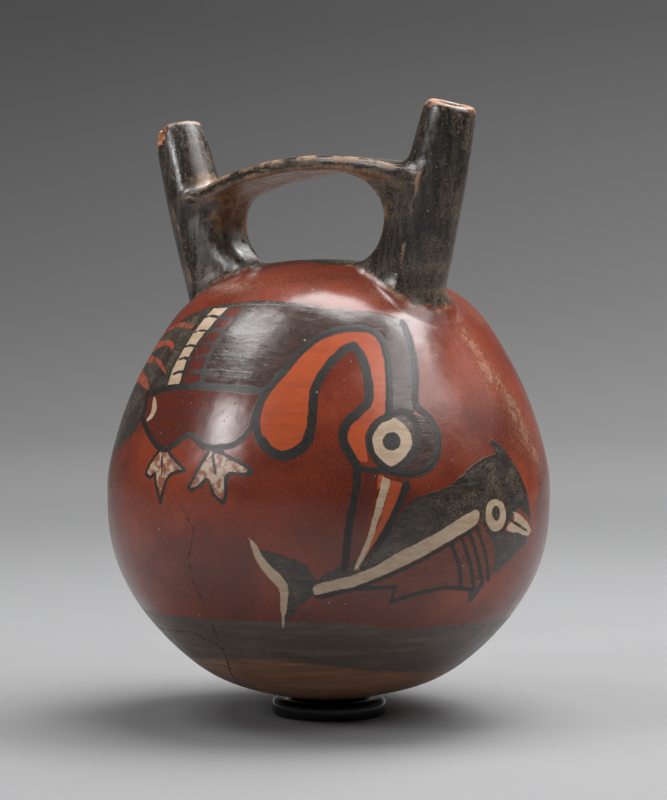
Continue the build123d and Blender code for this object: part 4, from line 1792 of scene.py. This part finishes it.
def ring_section():
    """The ring's section, with its four edges rounded."""
    inner = ring_radius - ring_width
    middles = [
        (inner + ring_foot_edge, ring_foot_edge, ring_foot_edge, 180),
        (ring_radius - ring_foot_edge, ring_foot_edge, ring_foot_edge, 270),
        (ring_radius - ring_edge, ring_height - ring_edge, ring_edge, 0),
        (inner + ring_edge, ring_height - ring_edge, ring_edge, 90),
    ]
    points = []
    for x, z, radius, start in middles:
        for turn_by in np.radians(start + np.linspace(0, 90, 9)):
            points.append((x + radius * math.cos(turn_by), z + radius * math.sin(turn_by)))
    points.append(points[0])
    return points


ring_mesh = turn("display_ring", ring_section(), 160, ring_gloss)
shade(ring_mesh)
dress("display_ring", ring_mesh, ring_gloss, body="ring")


# === The floor, the lamps and the camera ===

room_radius = 2600.0
room_bend = 1100.0  # radius of the bend from the floor up to the wall
room_height = 2600.0
paper_length = room_radius - room_bend + room_bend * math.pi / 2 + room_height - room_bend

# Painted falloff of light on the paper: its tone, by how far it runs from under the bottle, along the floor
# and up the wall
painted_falloff_tones = [(330, 178), (548, 172), (879, 160), (1436, 147), (1760, 136), (2039, 119)]
painted_falloff_tones += [(2342, 102), (2565, 85), (3200, 62), (4400, 46)]


def direction(azimuth, elevation=0.0):
    a, e = math.radians(azimuth), math.radians(elevation)
    return Vector((math.sin(a) * math.cos(e), -math.cos(a) * math.cos(e), math.sin(e)))


def room_mesh():
    floor_radius = room_radius - room_bend
    section = [(r, 0.0) for r in np.linspace(0, floor_radius, 24)]
    for b in np.radians(np.linspace(0, 90, 25)[1:]):
        section.append((floor_radius + room_bend * math.sin(b), room_bend * (1 - math.cos(b))))
    section.append((room_radius, room_height))
    points, steps = [], 96
    for r, z in section:
        for i in range(steps):
            a = 2 * math.pi * i / steps
            points.append((r * math.sin(a), -r * math.cos(a), z))
    faces = []
    for row in range(len(section) - 1):
        for i in range(steps):
            j = (i + 1) % steps
            below, above = row * steps, (row + 1) * steps
            faces.append((below + i, below + j, above + j, above + i))
    mesh = bpy.data.meshes.new("room")
    mesh.from_pydata([tuple(MM * c for c in p) for p in points], [], faces)
    work = bmesh.new()
    work.from_mesh(mesh)
    bmesh.ops.remove_doubles(work, verts=work.verts, dist=1e-5)
    work.to_mesh(mesh)
    work.free()
    places = points_of(mesh)
    out = np.hypot(places[:, 0], places[:, 1])
    bent = np.arcsin(np.clip((out - room_radius + room_bend) / room_bend, 0, 1))
    run = np.minimum(out, floor_radius) + room_bend * bent + np.maximum(places[:, 2] - room_bend, 0)
    store(mesh, "run", run / paper_length)
    mesh.polygons.foreach_set("use_smooth", np.ones(len(mesh.polygons), bool))
    return mesh


def room_finish():
    """Pale paper under the bottle, with painted falloff of light: it darkens evenly as it runs back and up
    the wall, it is lighter towards the camera's right, and it is painted dark in front of and to the right
    of the bottle, as painted shade.
    """
    material, n = start_material("room_paper")
    ramp = n.add("ShaderNodeValToRGB", {0: n.stored("run")})
    marks = ramp.color_ramp.elements
    while len(marks) < len(painted_falloff_tones):
        marks.new(0.5)
    for mark, (run, tone) in zip(marks, painted_falloff_tones):
        mark.position, mark.color = run / paper_length, srgb(tone, tone, tone)
    place = n.place()
    # painted light: the paper is lighter towards the camera's right and darker towards its left
    aside = n.reach_along(place, direction(view_azimuth + 90))
    tone = n.mix(1.0, ramp.outputs["Color"], n.spread(aside, -900.0, 900.0, 0.7, 1.3), "MULTIPLY")
    # painted shade: the paper is painted dark grey in front of and to the right of the bottle, so that the
    # body reflects dark there
    dark = n.spread(n.reach_along(place, direction(view_azimuth + 64)), 150.0, 700.0)
    tone = n.mix(dark, tone, painted_shade_grey)
    paper = n.surface(Base_Color=n.mix(dark, floor_paper, painted_shade_grey))
    paper.inputs["Roughness"].default_value = 0.9
    far_paper_glow = n.add("ShaderNodeEmission", {"Color": tone})
    # seen straight on or in a reflection, the far paper glows with its painted falloff tone instead of
    # taking the lamps' light
    path = n.add("ShaderNodeLightPath").outputs
    seen = n.most(n.most(path["Is Camera Ray"], path["Is Glossy Ray"]), path["Is Transmission Ray"])
    distant = n.spread(n.stored("run"), 380.0 / paper_length, 1000.0 / paper_length)
    shaders = {0: n.times(seen, distant), 1: paper.outputs[0], 2: far_paper_glow.outputs[0]}
    n.finish(n.add("ShaderNodeMixShader", shaders).outputs[0])
    return material


room = link("room", room_mesh())
room.data.materials.append(room_finish())


aim = Vector((0, 0, 85)) * MM
for name, (azimuth, elevation, distance, width, height, watts) in lamps.items():
    lamp = bpy.data.lights.new(name, "AREA")
    lamp.shape, lamp.size, lamp.size_y = "RECTANGLE", width * MM, height * MM
    lamp.energy = watts
    stand = bpy.data.objects.new(name, lamp)
    bpy.context.scene.collection.objects.link(stand)
    stand.location = aim + direction(azimuth, elevation) * distance * MM
    stand.rotation_euler = (aim - stand.location).to_track_quat("-Z", "Y").to_euler()
    stand.visible_camera = False

world = bpy.data.worlds.new("room_light")
world.use_nodes = True
background = world.node_tree.nodes["Background"].inputs
background["Color"].default_value = room_light
background["Strength"].default_value = 0.16
bpy.context.scene.world = world

camera_data = bpy.data.cameras.new("camera")
camera_data.sensor_fit = "VERTICAL"
camera_data.sensor_height = 36.0
camera_data.lens = view_lens
camera_data.clip_start, camera_data.clip_end = 0.01, 20.0
camera = bpy.data.objects.new("camera", camera_data)
bpy.context.scene.collection.objects.link(camera)
backward, rightward = direction(view_azimuth), direction(view_azimuth + 90)
spot = backward * view_distance + rightward * view_aside + Vector((0, 0, view_height))
camera.location = spot * MM
camera.rotation_euler = (math.radians(90 - view_pitch), 0, math.radians(view_azimuth))
bpy.context.scene.camera = camera
bpy.context.scene.view_settings.view_transform = "Standard"
